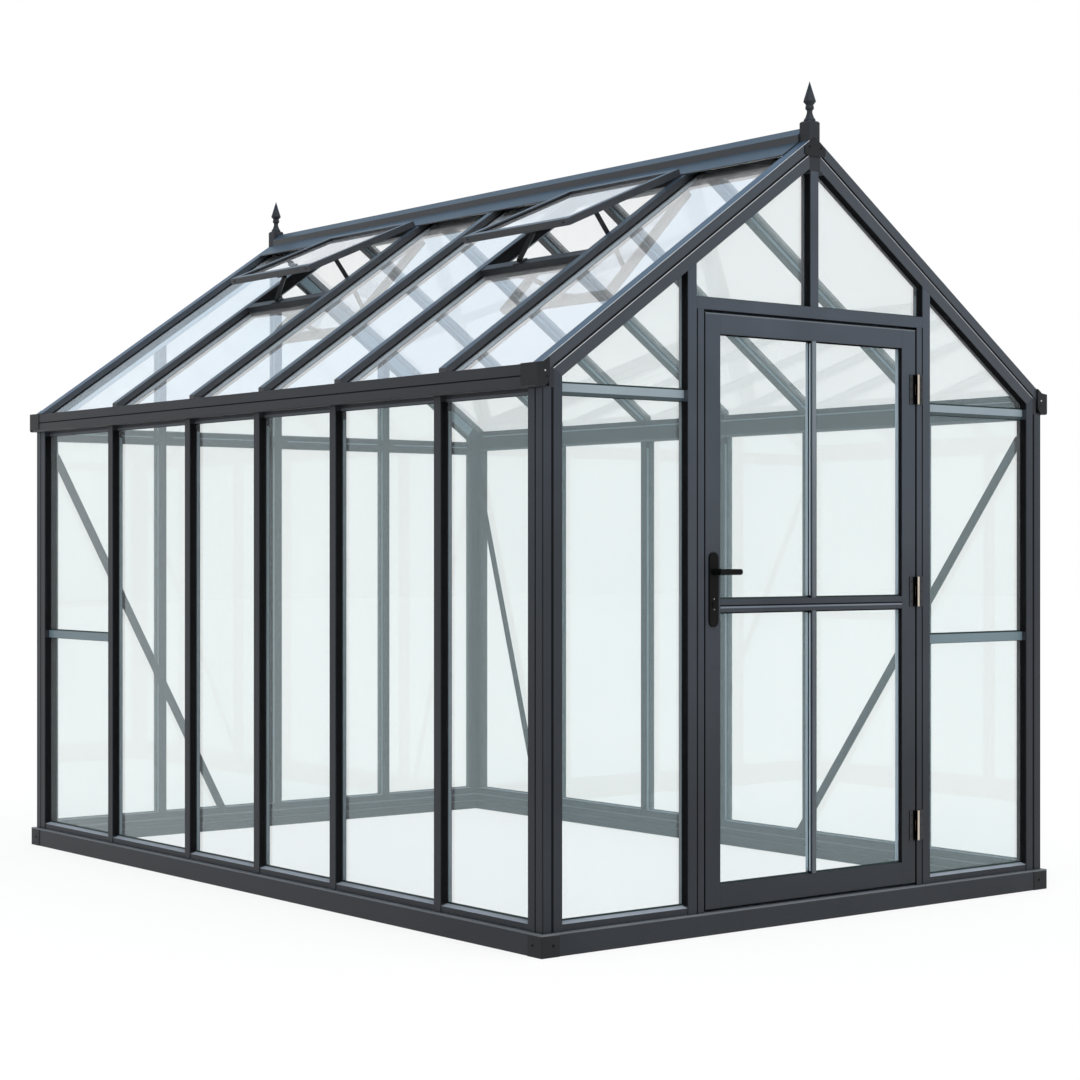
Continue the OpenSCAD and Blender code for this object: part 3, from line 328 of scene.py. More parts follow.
finishLooks = {
    "frameCoat": coat,
    # painted highlight along the lowest strip of the gutters
    "eavesCoat": {**coat, "bands": [{"Z": (0.0, headRailFoot + headRailLip), "tint": (3.2, 3.3, 3.2)}]},
    # painted light: the door muntins lighter than the frame coat
    "muntinCoat": {
        **coat, "dark": (0.073, 0.083, 0.098), "light": (0.0945, 0.1056, 0.1236), "rise": muntinPaintedRise,
    },
    "roofCoat": {**coat, **glossAndPaintedSky},
    "gableCoat": {**coat, "rise": gablePaintedRise},
    "rafterCoat": {**coat, **glossAndPaintedSky, "rise": rafterPaintedRise},
    # painted highlight on the faces that look up, and on the base along its top edge
    "sillCoat": {**coat, "up": (9.8, 9.8, 9.6)},
    "baseCoat": {**coat, "up": (5.0, 4.9, 4.6), "bands": [baseTopHighlight]},
    "postCoat": {**coat, "rise": postPaintedRise, "bands": [{
        "X": (postOuter.x - postArris, far), "Y": (postOuter.y - postArris, far), "tint": (0.18, 0.19, 0.21),
    }]},
    "leafCoat": {**coat, "rise": gablePaintedRise, "bands": [
        leafTopHighlight,
        # painted shade at the leaf's edge in the gap
        {"X": (leafHalf - gapSkin, far), "tint": gapShade},
    ]},
    "railCoat": {**coat, "rise": gablePaintedRise, "bands": [
        leafTopHighlight,
        {"Z": tuple(middleRailLine - drop for drop in middleRailShine), "tint": (3.6, 3.6, 3.5)},
    ]},
    "jambCoat": {**coat, "rise": gablePaintedRise, "bands": [
        # painted shade on the jamb's side of the gap
        {"X": (0.0, jambInner + gapSkin), "tint": gapShade},
    ]},
    "fittingCoat": fitting,
    # painted highlight on the plates' up-facing faces and along their top edge
    "plateCoat": {**fitting, "up": (10.0, 9.8, 9.2), "bands": [{**baseTopHighlight, "tint": (9.2, 9.0, 8.4)}]},
    # painted light on the transoms, dimmer and bluer low down, with painted shade on the lower strip of the
    # eaves transoms
    "paleCoat": {
        "dark": (0.225, 0.280, 0.318), "light": (0.265, 0.325, 0.362),
        "patch": 3.0, "rough": (0.34, 0.44), "grain": 1000.0, "relief": 0.00005, "gloss": 0.45,
        "bands": [
            {"Z": (0.0, lowTransoms), "tint": (0.54, 0.63, 0.64)},
            {"Z": (lowTransoms, eavesTransomTop - eavesTransomLip), "tint": (0.12, 0.17, 0.17)},
        ],
    },
    "webCoat": {**lightStripLook, "dark": (0.150, 0.205, 0.235), "light": (0.200, 0.265, 0.295)},
    "skyWeb": {**lightStripLook, "dark": (0.40, 0.50, 0.58), "light": (0.48, 0.58, 0.66)},
    "blackLever": {
        "dark": (0.0025, 0.0025, 0.0026), "light": (0.0050, 0.0050, 0.0052),
        "patch": 14.0, "rough": (0.30, 0.42), "grain": 1600.0, "relief": 0.00004, "gloss": 0.08,
    },
    "sealRubber": {
        "dark": (0.003, 0.003, 0.004), "light": (0.006, 0.006, 0.007),
        "patch": 25.0, "rough": (0.62, 0.80), "grain": 700.0, "relief": 0.00012, "gloss": 0.10,
    },
    "glassEdge": {
        "dark": (0.012, 0.026, 0.025), "light": (0.018, 0.036, 0.034),
        "patch": 8.0, "rough": (0.30, 0.45), "grain": 500.0, "relief": 0.00004, "gloss": 0.20,
    },
    "hingeSteel": {
        "dark": (0.46, 0.39, 0.32), "light": (0.60, 0.53, 0.44),
        "patch": 40.0, "rough": (0.26, 0.42), "grain": 900.0, "relief": 0.00005, "gloss": 0.50,
        "metal": 1.0, "stretch": (1.0, 1.0, 0.06),
        "bands": [
            {"X": (0.0, hingeLine - hingeShade), "tint": hingeDark},
            {"X": (hingeLine - hingeShade, hingeLine - knuckleShine), "tint": (0.01, 0.01, 0.012)},
            {"X": (hingeLine + knuckleHalf, far), "tint": hingeDark},
        ],
    },
    # bright alloy of the cap screws, also the colour of the painted highlight strips and dots
    "brightAlloy": {
        "dark": (0.50, 0.52, 0.54), "light": (0.66, 0.68, 0.70),
        "patch": 60.0, "rough": (0.28, 0.44), "grain": 1400.0, "relief": 0.00004, "gloss": 0.50,
    },
}


def maskTint(tree, colour, plain, mask, tint):
    # the plain colour times the tint where the mask is 1, else the colour so far
    tinted = addNode(tree, "ShaderNodeVectorMath", {1: tint}, operation="MULTIPLY")
    pick = addNode(tree, "ShaderNodeMix", data_type="VECTOR")
    tree.links.new(plain, tinted.inputs[0])
    tree.links.new(mask, pick.inputs[0])
    tree.links.new(colour, pick.inputs[4])
    tree.links.new(tinted.outputs[0], pick.inputs[5])
    return pick.outputs[1]


# faces that look up, which get a painted highlight
def upMask(tree):
    facing = addNode(tree, "ShaderNodeNewGeometry")
    split = addNode(tree, "ShaderNodeSeparateXYZ")
    tree.links.new(facing.outputs["True Normal"], split.inputs[0])
    return mathNode(tree, "GREATER_THAN", split.outputs["Z"], mostly)


def bandMask(tree, split, band):
    mask = 1.0
    for axis in "XYZ":
        if axis in band:
            for test, limit in zip(("GREATER_THAN", "LESS_THAN"), band[axis]):
                mask = mathNode(tree, "MULTIPLY", mathNode(tree, test, split.outputs[axis], limit), mask)
    return mask


def tintCoat(tree, place, plain, look):
    # the house is alike on both sides, so bands go by distance from its middle
    spread = addNode(tree, "ShaderNodeVectorMath", operation="ABSOLUTE")
    split = addNode(tree, "ShaderNodeSeparateXYZ")
    tree.links.new(place, spread.inputs[0])
    tree.links.new(spread.outputs[0], split.inputs[0])
    # painted sky reflection, more of it higher up
    if "rise" in look:
        rise = look["rise"]
        climb = addNode(tree, "ShaderNodeMapRange", {"From Min": rise["from"], "From Max": rise["to"]})
        tree.links.new(split.outputs["Z"], climb.inputs["Value"])
        plain = maskTint(tree, plain, plain, climb.outputs["Result"], rise["tint"])
    colour = plain
    for band in look.get("bands", ()):
        colour = maskTint(tree, colour, plain, bandMask(tree, split, band), band["tint"])
    # painted highlight on the faces that look up
    if "up" in look:
        colour = maskTint(tree, colour, plain, upMask(tree), look["up"])
    return colour


# the noise values that the two ends of a finish are reached at
noiseSpan = {"colour": (0.32, 0.68), "rough": (0.3, 0.7), "cloud": (0.35, 0.65)}


def noiseRamp(tree, span, look):
    return rampNode(tree, list(zip(span, (look["dark"], look["light"]))))


def finishMaterial(name, look):
    material = bpy.data.materials.new(name)
    tree = bareTree(material)
    place = addNode(tree, "ShaderNodeTexCoord")
    scale = addNode(tree, "ShaderNodeMapping", {"Scale": look.get("stretch", (1.0, 1.0, 1.0))})
    patch = addNode(tree, "ShaderNodeTexNoise", {"Scale": look["patch"], "Detail": 5.0, "Roughness": 0.6})
    grain = addNode(tree, "ShaderNodeTexNoise", {"Scale": look["grain"], "Detail": 2.0})
    colour = noiseRamp(tree, noiseSpan["colour"], look).outputs[0]
    limits = zip(("From Min", "From Max", "To Min", "To Max"), noiseSpan["rough"] + look["rough"])
    rough = addNode(tree, "ShaderNodeMapRange", dict(limits))
    relief = addNode(tree, "ShaderNodeBump", {"Strength": 1.0, "Distance": look["relief"]})
    shader = addNode(tree, "ShaderNodeBsdfPrincipled", {
        "Metallic": look.get("metal", 0.0), "Specular IOR Level": look["gloss"],
    })
    out = addNode(tree, "ShaderNodeOutputMaterial")
    tree.links.new(place.outputs["Object"], scale.inputs["Vector"])
    tree.links.new(scale.outputs["Vector"], patch.inputs["Vector"])
    tree.links.new(scale.outputs["Vector"], grain.inputs["Vector"])
    tree.links.new(patch.outputs[0], colour.node.inputs[0])
    tree.links.new(patch.outputs[0], rough.inputs["Value"])
    tree.links.new(grain.outputs[0], relief.inputs["Height"])
    colour = tintCoat(tree, place.outputs["Object"], colour, look)
    tree.links.new(colour, shader.inputs["Base Color"])
    tree.links.new(rough.outputs["Result"], shader.inputs["Roughness"])
    tree.links.new(relief.outputs["Normal"], shader.inputs["Normal"])
    tree.links.new(shader.outputs[0], out.inputs["Surface"])
    return material


glassLooks = {
    "wallGlass": {
        "dark": (0.896, 0.932, 0.932), "light": (0.914, 0.948, 0.947),
        "sheen": (0.50, 0.90, 1.0), "clear": 0.955,
    },
    "roofGlass": {
        "dark": (0.955, 0.958, 0.960), "light": (0.972, 0.974, 0.976),
        "sheen": (1.0, 0.98, 0.98), "clear": 0.905,
    },
}
lampThrough = (0.94, 0.97, 0.97, 1)  # what a pane lets through of the lamp


def glassMaterial(name, look):
    # float glass with a faint haze, clear to the lamps
    material = bpy.data.materials.new(name)
    tree = bareTree(material)
    place = addNode(tree, "ShaderNodeTexCoord")
    cloud = addNode(tree, "ShaderNodeTexNoise", {"Scale": 1.3, "Detail": 3.0})
    colour = noiseRamp(tree, noiseSpan["cloud"], look)
    shader = addNode(tree, "ShaderNodeBsdfPrincipled", {
        "Roughness": 0.0, "IOR": 1.5, "Transmission Weight": look["clear"],
        "Specular Tint": (*look["sheen"], 1),
    })
    path = addNode(tree, "ShaderNodeLightPath")
    lampPath = addNode(tree, "ShaderNodeBsdfTransparent", {"Color": lampThrough})
    mix = addNode(tree, "ShaderNodeMixShader")
    out = addNode(tree, "ShaderNodeOutputMaterial")
    tree.links.new(place.outputs["Object"], cloud.inputs["Vector"])
    tree.links.new(cloud.outputs[0], colour.inputs[0])
    tree.links.new(colour.outputs[0], shader.inputs["Base Color"])
    tree.links.new(path.outputs["Is Shadow Ray"], mix.inputs[0])
    tree.links.new(shader.outputs[0], mix.inputs[1])
    tree.links.new(lampPath.outputs[0], mix.inputs[2])
    tree.links.new(mix.outputs[0], out.inputs["Surface"])
    return material


finishes = {name: finishMaterial(name, look) for name, look in finishLooks.items()}
finishes.update({name: glassMaterial(name, look) for name, look in glassLooks.items()})
print("finishes:", ", ".join(finishes))

# which finish each node takes: by its slot, or by name where it differs
slotFinish = {
    "frame_coating": "frameCoat",
    "dark_fittings": "fittingCoat",
    "glass": "wallGlass",
    "hinge_steel": "hingeSteel",
    "black_handle": "blackLever",
}
finishNodes = {
    "roofGlass": ("left_roof_glass", "right_roof_glass", "vent_glass"),
    "paleCoat": ("front_transoms", "left_wall_transom"),
    "postCoat": ("corner_posts",),
    "plateCoat": ("base_corner_plates",),
    "jambCoat": ("door_jambs",),
    "leafCoat": ("door_stiles",),
    "railCoat": ("door_rails",),
    "muntinCoat": ("door_muntins",),
    "eavesCoat": ("left_gutter", "right_gutter"),
    "baseCoat": ("base_front_rail", "base_back_rail", "base_side_rails"),
    "sillCoat": ("left_sills", "right_sills", "gable_sills"),
    "roofCoat": ("left_roof_bars", "right_roof_bars", "ridge", "vent_stiles", "vent_rails"),
    "rafterCoat": ("front_rafters", "back_rafters"),
    "gableCoat": ("door_mullions", "door_header", "king_mullion"),
}
nodeFinish = {node: finish for finish, group in finishNodes.items() for node in group}

edgeBreak = {"width": 0.0009, "steps": 2, "angle": 35, "flat": 1}


def breakEdges(node, look):
    # small rounds on the sharp edges, the flats stay flat
    weld = node.modifiers.new("weld", "WELD")
    weld.merge_threshold = weldGap
    flats = node.modifiers.new("flats", "DECIMATE")
    flats.decimate_type = "DISSOLVE"
    flats.angle_limit = math.radians(look["flat"])
    bevel = node.modifiers.new("edges", "BEVEL")
    bevel.width = look["width"]
    bevel.segments = look["steps"]
    bevel.limit_method = "ANGLE"
    bevel.angle_limit = math.radians(look["angle"])
    node.modifiers.new("shade", "WEIGHTED_NORMAL")


def dressNodes():
    for part in record["subparts"]:
        node = nodes[part["node"]]
        finish = nodeFinish.get(part["node"], slotFinish[part["material_slot"]])
        node.data.materials.clear()
        node.data.materials.append(finishes[finish])
        if part["material_slot"] != "glass":
            breakEdges(node, edgeBreak)


dressNodes()
print("nodes dressed")


def newPiece(name, mesh, finish, body):
    bmesh.ops.recalc_face_normals(mesh, faces=mesh.faces)
    data = bpy.data.meshes.new(name)
    mesh.to_mesh(data)
    mesh.free()
    data.materials.append(finishes[finish])
    piece = bpy.data.objects.new(name, data)
    scene.collection.objects.link(piece)
    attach(piece, body)


def bridge(mesh, rings):
    # skin over a row of rings, closed at both ends
    for ring, after in zip(rings, rings[1:]):
        for i in range(len(ring)):
            k = (i + 1) % len(ring)
            mesh.faces.new((ring[i], ring[k], after[k], after[i]))
    mesh.faces.new(rings[0][::-1])
    mesh.faces.new(rings[-1])


def addBar(mesh, start, end, across, up):
    # four-sided bar from start to end, its section spanned by two steps
    rings = []
    for corner in (start, end):
        ring = (corner, corner + across, corner + across + up, corner + up)
        rings.append([mesh.verts.new(point) for point in ring])
    bridge(mesh, rings)


# rubber seals round the panes: a wedge with a deep black lining on the sides, painted shade over the bars'
# reveals; only a wedge on the roof, a thin line on the rails
sealShape = {
    "bite": 0.009,  # how far the glass goes into its groove
    "lining": 0.0012,
    "wedge": 0.0035,
    "wedgeRise": 0.005,
    "bend": (0.6, 0.7),  # where the wedge's slope bends, as shares of its width and rise
    "roofRise": 1.2,  # share of the rise on the roof
    "line": 0.0016,
    "lineRise": 1.5,
    "foot": 0.0060,  # height of the green line along the foot of a pane
    "short": 0.003,  # lining stops this far behind the bar's face
    "lift": 0.0002,
    "level": 0.1,  # edges that rise less than this lie level
}
glazing = {
    "leftWallSeals": {"glass": "left_wall_glass", "bars": "left_wall_bars", "towards": (-1, 0, 0)},
    "rightWallSeals": {"glass": "right_wall_glass", "bars": "right_wall_bars", "towards": (1, 0, 0)},
    "frontGableSeals": {"glass": "front_gable_glass", "bars": "door_mullions", "towards": (0, -1, 0)},
    "backGableSeals": {"glass": "back_gable_glass", "bars": "back_mullions", "towards": (0, 1, 0)},
    "leftRoofSeals": {"glass": "left_roof_glass", "bars": "left_roof_bars", "towards": (-0.6, 0, 0.8)},
    "rightRoofSeals": {"glass": "right_roof_glass", "bars": "right_roof_bars", "towards": (0.6, 0, 0.8)},
    "ventSeals": {"glass": "vent_glass", "bars": "vent_stiles", "towards": (-0.3, 0, 0.9)},
    # the door's wider head strip is painted shade under the rail over each pane
    "doorSeals": {
        "glass": "door_glass", "bars": "door_stiles", "towards": (0, -1, 0), "body": "door", "head": 0.0048,
    },
}


def insetCorner(outline, outward, i, inset):
    here = outline[i]
    before = (here - outline[i - 1]).normalized()
    after = (outline[(i + 1) % len(outline)] - here).normalized()
    sideA = outward.cross(before)
    sideB = outward.cross(after)
    return here + (sideA + sideB) * inset / (1 + sideA.dot(sideB))


def sealStrip(mesh, outline, outward, i, profile):
    rings = []
    for k in (i, (i + 1) % len(outline)):
        ring = [insetCorner(outline, outward, k, inward) + outward * out for inward, out in profile]
        rings.append([mesh.verts.new(point) for point in ring])
    bridge(mesh, rings)


def sealProfiles(shape, deep, head, onRoof):
    # sections of the strips, as steps in from the pane's edge and out from its face
    bite, skin, wedge, rise, line, lift = (
        shape[k] for k in ("bite", "lining", "wedge", "wedgeRise", "line", "lift")
    )
    bendIn, bendOut = shape["bend"]
    sides = [(bite, lift), (bite + wedge, lift), (bite + wedge * bendIn, rise * bendOut)]
    if onRoof:
        sides.append((bite, rise * shape["roofRise"]))
    else:
        sides += [(bite + skin, rise), (bite + skin, deep - skin), (bite, deep)]
    profiles = {"sides": sides}
    for place, wide in (("head", head), ("foot", shape["foot"])):
        profiles[place] = [
            (bite, lift), (bite + wide, lift), (bite + wide, line), (bite, line * shape["lineRise"]),
        ]
    return profiles


def makeSeals(name, pane, shape):
    panes, outward = panesOf(pane["glass"], Vector(pane["towards"]))
    deep = reach(pane["bars"], outward) - reach(pane["glass"], outward) - shape["short"]
    onRoof = outward.z > mostly
    profiles = sealProfiles(shape, deep, pane.get("head", shape["line"]), onRoof)
    mesh, feet = bmesh.new(), bmesh.new()
    for outline in panes:
        bottom = min(corner.z for corner in outline)
        for i, start in enumerate(outline):
            run = (outline[(i + 1) % len(outline)] - start).normalized()
            level = abs(run.z) < shape["level"]
            if level and onRoof:
                continue  # roof panes run on under the ridge and over the eaves
            if level and start.z < bottom + hair:
                sealStrip(feet, outline, outward, i, profiles["foot"])
            else:
                sealStrip(mesh, outline, outward, i, profiles["head" if level else "sides"])
    body = pane.get("body", "frame")
    newPiece(name, mesh, "sealRubber", body)
    if feet.faces:
        newPiece(name + "Feet", feet, "glassEdge", body)
    else:
        feet.free()


for sealName, pane in glazing.items():
    makeSeals(sealName, pane, sealShape)
print("seals:", len(glazing))

# painted highlights: light strips on the bars under the glass, fine lines along the beams inside, the light
# ones painted highlights
barStripShape = {"tall": 0.0115, "inset": 0.0028, "proud": 0.0004, "short": 0.03}
doorStripShape = {"proud": 0.0006, "gap": 0.008, "onMuntin": 0.62, "onStile": 0.10}
rafterStripShape = {"proud": 0.0004, "gap": 0.002, "short": 0.09}
beamLines = (
    # node, inner side, share of the height, width, finish
    ("left_gutter", (1, 0, 0), 0.72, 0.0045, "webCoat"),
    ("left_gutter", (1, 0, 0), 0.45, 0.0035, "fittingCoat"),
    ("right_gutter", (-1, 0, 0), 0.72, 0.0045, "webCoat"),
    ("right_gutter", (-1, 0, 0), 0.45, 0.0035, "fittingCoat"),
    ("back_transoms", (0, -1, 0), 0.55, 0.0050, "webCoat"),
)


def outwardOf(pane):
    return panesOf(pane["glass"], Vector(pane["towards"]))[1]


def innerFace(corners, inward):
    deep = spanOf(corners, inward)[1]
    return deep, [corner for corner in corners if corner.dot(inward) > deep - hair]


def lineEnds(edge, along, corners, short):
    # ends of a line that stops short of both ends of a member
    low, high = spanOf(corners, along)
    return [edge + along * place for place in (low + short, high - short)]


def addBarLightStrips(meshes, look):
    for pane in glazing.values():
        bars = pane["bars"]
        if bars in ("vent_stiles", "door_stiles"):
            continue
        mesh = meshes["skyWeb" if bars == "left_roof_bars" else "webCoat"]
        inward = -outwardOf(pane)
        along = axisZ if abs(inward.y) > mostly else inward.cross(axisY)
        across = along.cross(inward)
        for corners in solidsOf(bars):
            deep, face = innerFace(corners, inward)
            for side, out in zip(spanOf(face, across), (-look["proud"], look["proud"])):
                edge = across * side + inward * (deep - look["inset"])
                start, end = lineEnds(edge, along, face, look["short"])
                addBar(mesh, start, end, across * out, -inward * look["tall"])


def addBeamLines(meshes, lines, look):
    for node, inward, share, wide, finish in lines:
        inward = Vector(inward)
        for corners in solidsOf(node):
            deep, face = innerFace(corners, inward)
            foot, top = spanOf(face, axisZ)
            edge = inward * deep + axisZ * (foot + (top - foot) * share)
            start, end = lineEnds(edge, inward.cross(axisZ), face, look["short"])
            addBar(meshes[finish], start, end, inward * look["proud"], axisZ * wide)


def addRafterLightStrips(meshes, look):
    # painted highlight strips on the rafters' inner sides, under the roof glass
    for slope, side, finish in (("leftRoofSeals", -1, "skyWeb"), ("rightRoofSeals", 1, "webCoat")):
        outward = outwardOf(glazing[slope])
        under = -reach(glazing[slope]["glass"], -outward) - look["gap"]
        for corners in solidsOf("front_rafters") + solidsOf("back_rafters"):
            low, high = boxOf(corners)
            if (low.x + high.x) * side < 0:
                continue
            inner, step = (low.y, -look["proud"]) if low.y > 0 else (high.y, look["proud"])
            foot = spanOf(corners, outward)[0] + look["gap"]
            edge = outward * foot + axisY * inner
            start, end = lineEnds(edge, outward.cross(axisY), corners, look["short"])
            addBar(meshes[finish], start, end, axisY * step, outward * (under - foot))


def addSideLightStrips(mesh, box, side, face, lining, share, look):
    # painted highlight strips on one side of a door bar: behind the glass, and over a share of the lining in
    # front of it
    low, high = box
    glassFront = -reach("door_glass", -axisY)
    front = glassFront + (low.y - glassFront) * share
    for near, back, proud in ((front, glassFront, lining + look["proud"]), (glassFront, high.y, look["proud"])):
        start = Vector((face, near, low.z + look["gap"]))
        end = Vector((face, near, high.z - look["gap"]))
        addBar(mesh, start, end, Vector((side * proud, 0, 0)), Vector((0, back - near, 0)))


def addDoorLightStrips(mesh, look):
    paneEdge = min(abs(vert.co.x) for vert in nodes["door_glass"].data.vertices)
    for corners in solidsOf("door_muntins"):
        low, high = boxOf(corners)
        lining = paneEdge + sealShape["bite"] + sealShape["lining"] - high.x
        for side in (-1, 1):
            addSideLightStrips(mesh, (low, high), side, side * high.x, lining, look["onMuntin"], look)
    for corners in solidsOf("door_stiles"):
        low, high = boxOf(corners)
        side, face = (-1, low.x) if low.x > 0 else (1, high.x)
        addSideLightStrips(mesh, (low, high), side, face, sealShape["lining"], look["onStile"], look)


def trimInside():
    meshes = {finish: bmesh.new() for finish in ("webCoat", "skyWeb", "fittingCoat")}
    addBarLightStrips(meshes, barStripShape)
    addRafterLightStrips(meshes, rafterStripShape)
    addBeamLines(meshes, beamLines, barStripShape)
    newPiece("barWebs", meshes["webCoat"], "webCoat", "frame")
    newPiece("roofWebs", meshes["skyWeb"], "skyWeb", "frame")
    doorStrips = bmesh.new()
    addDoorLightStrips(doorStrips, doorStripShape)
    newPiece("doorWebs", doorStrips, "skyWeb", "door")
    newPiece("beamSlots", meshes["fittingCoat"], "fittingCoat", "frame")


trimInside()
print("webs and lines inside")

# dark strips on the roof bars beside the vents' openings
ventDarkStrip = {"skin": 0.0012, "short": 0.003, "depth": 0.043, "side": 0.0003}


def darkenVentSides(look):
    outward = outwardOf(glazing["leftRoofSeals"])
    down = Vector((-outward.z, 0, outward.x))
    top = reach("left_roof_bars", outward) - look["short"]
    start = -reach("left_roof_bars", -down)
    mesh = bmesh.new()
    for corners in solidsOf("vent_trimmers"):
        low, high = spanOf(corners, axisY)
        stop = spanOf(corners, down)[0]
        for y, inward in ((low - look["side"], look["skin"]), (high + look["side"], -look["skin"])):
            ends = [outward * top + down * place + axisY * y for place in (start, stop)]
            addBar(mesh, ends[0], ends[1], axisY * inward, -outward * look["depth"])
    newPiece("ventLinings", mesh, "sealRubber", "frame")


darkenVentSides(ventDarkStrip)
print("vent linings")

# painted highlights: bright strips along the lower edge of the rafters' seams, fine bright lines along their
# upper edge
seamHighlight = {
    "depth": 0.006,
    "width": 0.0019,
    "short": 0.0004,
    "ridgeReach": 0.03,  # the seam's corners this near its summit are its upper end
    "edge": 0.0013,
    "proud": 0.0003,
}


def paintSeamHighlights(look):
    mesh = bmesh.new()
    for corners in solidsOf("front_rafters") + solidsOf("back_rafters"):
        face = outerSide(corners, 1)
        outward = axisY * math.copysign(1, face)
        floor = abs(face) - look["depth"]
        seam = [c for c in corners if abs(c.dot(outward) - floor) < hair]
        summit = max(seam, key=lambda c: c.z)
        top = min((c for c in seam if abs(c.x - summit.x) < look["ridgeReach"]), key=lambda c: c.z)
        foot = min(seam, key=lambda c: c.z)
        along = (foot - top).normalized()
        up = along.cross(axisY)
        up = up if up.z > 0 else -up
        addBar(mesh, top, foot, outward * (look["depth"] - look["short"]), up * look["width"])
        front = [c for c in corners if abs(c.y - face) < hair]
        height = spanOf(front, up)[1]
        crest = sorted((c for c in front if c.dot(up) > height - hair), key=lambda c: c.dot(along))
        lift = up * look["proud"] + outward * look["proud"]
        start, end = crest[0] + lift, crest[-1] + lift
        addBar(mesh, start, end, -outward * look["edge"], -up * look["edge"])
    newPiece("seamBeads", mesh, "brightAlloy", "frame")


paintSeamHighlights(seamHighlight)
print("seam beads")

# painted shade: black fill sunk in the seams and shadow grooves of the frame and the door
grooveShade = {"shallow": 0.0010, "deepest": 0.0080, "widest": 0.012, "sunk": 0.0012}
grooved = {
    "frameGaskets": {
        "corner_posts": ((-1, 0, 0), (1, 0, 0), (0, -1, 0), (0, 1, 0)),
        "front_rafters": ((0, -1, 0),),
        "back_rafters": ((0, 1, 0),),
        "door_jambs": ((0, -1, 0),),
        "left_gutter": ((-1, 0, 0),),
        "right_gutter": ((1, 0, 0),),
    },
    "doorGaskets": {"door_rails": ((0, -1, 0), (0, 1, 0))},
}


def grooveFloors(node, outward, look):
    # outlines of the narrow faces that lie a little behind a node's outermost face
    mesh = flatCopy(node)
    outer = reach(node, outward)
    for face in mesh.faces:
        depth = outer - face.verts[0].co.dot(outward)
        longest = max(edge.calc_length() for edge in face.edges)
        narrow = face.calc_area() / longest < look["widest"]
        if face.normal.dot(outward) > sameFacing and look["shallow"] < depth < look["deepest"] and narrow:
            yield [vert.co.copy() for vert in face.verts], depth
    mesh.free()


def fillGrooves(name, places, look, body):
    mesh = bmesh.new()
    for node, sides in places.items():
        for outward in map(Vector, sides):
            for outline, depth in grooveFloors(node, outward, look):
                raised = outward * (depth - look["sunk"])
                rings = [[mesh.verts.new(corner + step) for corner in outline] for step in (Vector(), raised)]
                bridge(mesh, rings)
    newPiece(name, mesh, "sealRubber", body)


for shadeName, places in grooved.items():
    fillGrooves(shadeName, places, grooveShade, "door" if "door" in shadeName else "frame")
print("gaskets")

# painted shade: black strip behind the foot of the door, between the jambs' stops
threshold = {"lap": 0.008}


def layThreshold(look):
    jambs = solidsOf("door_jambs")
    boxes = [boxOf(corners) for corners in jambs]
    inner = min(low.x for low, high in boxes if low.x > 0)
    inside = max(high.y for low, high in boxes)
    front = min(c.y for corners in jambs for c in corners if abs(abs(c.x) - inner) < hair)
    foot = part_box("door_stiles")[0].z
    mesh = bmesh.new()
    start = Vector((-inner, front, baseTop))
    end = Vector((inner, front, baseTop))
    addBar(mesh, start, end, axisY * (inside - front), axisZ * (foot + look["lap"] - baseTop))
    newPiece("thresholdSeal", mesh, "sealRubber", "frame")


layThreshold(threshold)
print("threshold")

# screws: pan heads with a six-sided socket, joined per finish and body
screwShape = {
    "sides": 18,
    "sunk": 0.0004,
    "rise": 0.45,  # this, socket and depth are shares of the radius
    "socket": 0.45,
    "depth": 0.30,
    "crown": ((1.0, 0.4), (0.86, 0.85), (0.62, 1.0)),  # shares of radius and rise
}
screwPlaces = {
    "plate": {"radius": 0.0044, "height": 0.5, "fromCorner": 0.048},
    # in and down from the outer top corner
    "cap": {"radius": 0.0030, "bright": (0.034, 0.045), "dark": (0.041, 0.063)},
    "apex": {"radius": 0.0036, "spread": 0.028, "drop": 0.034},
    "brace": {"radius": 0.0050, "inset": 0.019},
    "hinge": {"radius": 0.0026, "pitch": 0.036, "edge": 0.010},
    "handle": {"radius": 0.0030, "inset": 0.016},
    "lock": {"radius": 0.0016, "spread": 0.0175, "slot": (0.0022, 0.0010, 0.0090)},
}
plateTip = 0.03  # length of a handle plate's plain upper end


def hexRadius(angle, size):
    sixth = math.radians(60)
    return size * math.cos(sixth / 2) / math.cos((angle % sixth) - sixth / 2)


def addScrew(mesh, place, facing, radius, shape=screwShape):
    turn = Vector(facing).to_track_quat("Z", "Y")
    rise = radius * shape["rise"]
    socket = radius * shape["socket"]
    floor = rise - radius * shape["depth"]
    angles = [math.tau * i / shape["sides"] for i in range(shape["sides"])]
    profile = [(radius, -shape["sunk"])] + [(radius * wide, rise * up) for wide, up in shape["crown"]]
    rings = [[(wide * math.cos(a), wide * math.sin(a), up) for a in angles] for wide, up in profile]
    for up in (rise, floor):
        wides = [hexRadius(a, socket) for a in angles]
        rings.append([(wide * math.cos(a), wide * math.sin(a), up) for wide, a in zip(wides, angles)])
    bridge(mesh, [[mesh.verts.new(Vector(place) + turn @ Vector(p)) for p in ring] for ring in rings])


def plateBolts(mesh, look):
    for corners in solidsOf("base_corner_plates"):
        low, high = spanOf(corners, axisZ)
        z = low + (high - low) * look["height"]
        sideX, sideY = outerSide(corners, 0), outerSide(corners, 1)
        x, y = (side - math.copysign(look["fromCorner"], side) for side in (sideX, sideY))
        addScrew(mesh, (x, sideY, z), (0, sideY, 0), look["radius"])
        addScrew(mesh, (sideX, y, z), (sideX, 0, 0), look["radius"])


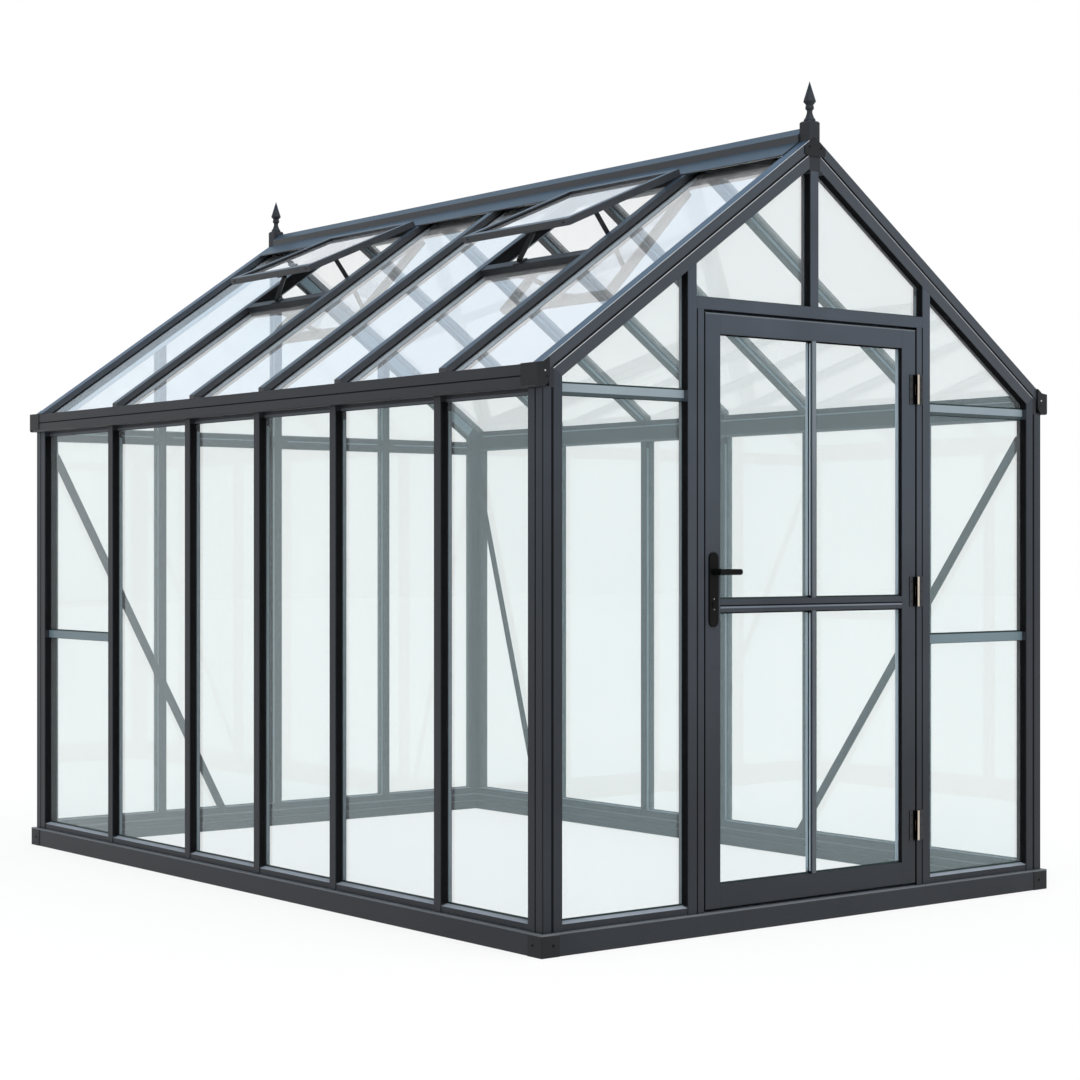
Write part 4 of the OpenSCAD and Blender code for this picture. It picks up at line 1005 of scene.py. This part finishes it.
def capScrew(mesh, look, tone):
    inwards, down = look[tone]
    for corners in solidsOf("gutter_end_caps"):
        sideX, sideY = outerSide(corners, 0), outerSide(corners, 1)
        place = (sideX - math.copysign(inwards, sideX), sideY, spanOf(corners, axisZ)[1] - down)
        addScrew(mesh, place, (0, sideY, 0), look["radius"])


def apexBolts(mesh, look):
    for corners in solidsOf("apex_plates"):
        sideY = outerSide(corners, 1)
        z = spanOf(corners, axisZ)[1] - look["drop"]
        for x in (-look["spread"], look["spread"]):
            addScrew(mesh, (x, sideY, z), (0, sideY, 0), look["radius"])


def braceBolts(mesh, look):
    for corners in solidsOf("wind_braces"):
        low, high = boxOf(corners)
        onSide = high.x - low.x < high.y - low.y
        top = max(corners, key=lambda c: c.z)
        foot = min(corners, key=lambda c: c.z)
        along = (foot - top).normalized()
        for end, step in ((top, along), (foot, -along)):
            place = end + step * look["inset"]
            if onSide:
                place.x = low.x
            else:
                place.y = low.y
            addScrew(mesh, place, (-1, 0, 0) if onSide else (0, -1, 0), look["radius"])


def hingeScrews(mesh, node, side, look):
    # three screws down the flat of each leaf
    for corners in solidsOf(node):
        low, high = boxOf(corners)
        edge = high.x if side > 0 else low.x
        leafY = min(c.y for c in corners if abs(c.x - edge) < hair)
        for row in (-1, 0, 1):
            z = (low.z + high.z) / 2 + row * look["pitch"]
            addScrew(mesh, (edge - side * look["edge"], leafY, z), (0, -1, 0), look["radius"])


def plateSide(corners):
    # -1 for the plate outside, 1 for the one inside
    return -1 if boxOf(corners)[0].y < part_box("door_stiles")[0].y else 1


def plateFlat(corners, side):
    top = boxOf(corners)[1].z
    return side * max(side * c.y for c in corners if c.z > top - plateTip)


def handleScrews(mesh, look):
    for corners in solidsOf("handle_plates"):
        low, high = boxOf(corners)
        side = plateSide(corners)
        if side < 0:
            continue  # the outer plate is held from inside
        for z in (low.z + look["inset"], high.z - look["inset"]):
            addScrew(mesh, ((low.x + high.x) / 2, plateFlat(corners, side), z), (0, side, 0), look["radius"])


def lockParts(highlightDots, slots, look):
    # key slot in each lock's face, a painted highlight dot over and under it
    wide, deep, tall = look["slot"]
    for corners in solidsOf("handle_plates"):
        low, high = boxOf(corners)
        side = plateSide(corners)
        lockY = low.y if side < 0 else high.y
        lock = [c.z for c in corners if abs(c.y - lockY) < hair]
        z = (min(lock) + max(lock)) / 2
        x = (low.x + high.x) / 2
        for step in (-look["spread"], look["spread"]):
            addScrew(highlightDots, (x, plateFlat(corners, side), z + step), (0, side, 0), look["radius"])
        start = Vector((x - wide / 2, lockY - side * deep / 2, z - tall / 2))
        addBar(slots, start, start + axisZ * tall, Vector((wide, 0, 0)), axisY * side * deep)


def fixScrews(looks):
    dark = bmesh.new()
    plateBolts(dark, looks["plate"])
    apexBolts(dark, looks["apex"])
    braceBolts(dark, looks["brace"])
    capScrew(dark, looks["cap"], "dark")
    hingeScrews(dark, "frame_hinges", 1, looks["hinge"])
    newPiece("frameBolts", dark, "blackLever", "frame")
    bright = bmesh.new()
    capScrew(bright, looks["cap"], "bright")
    newPiece("capScrews", bright, "brightAlloy", "frame")
    doorDark = bmesh.new()
    highlightDots = bmesh.new()
    hingeScrews(doorDark, "door_hinges", -1, looks["hinge"])
    handleScrews(doorDark, looks["handle"])
    lockParts(highlightDots, doorDark, looks["lock"])
    newPiece("doorScrews", doorDark, "sealRubber", "door")
    newPiece("lockStuds", highlightDots, "brightAlloy", "door")


fixScrews(screwPlaces)
print("screws on frame and door")
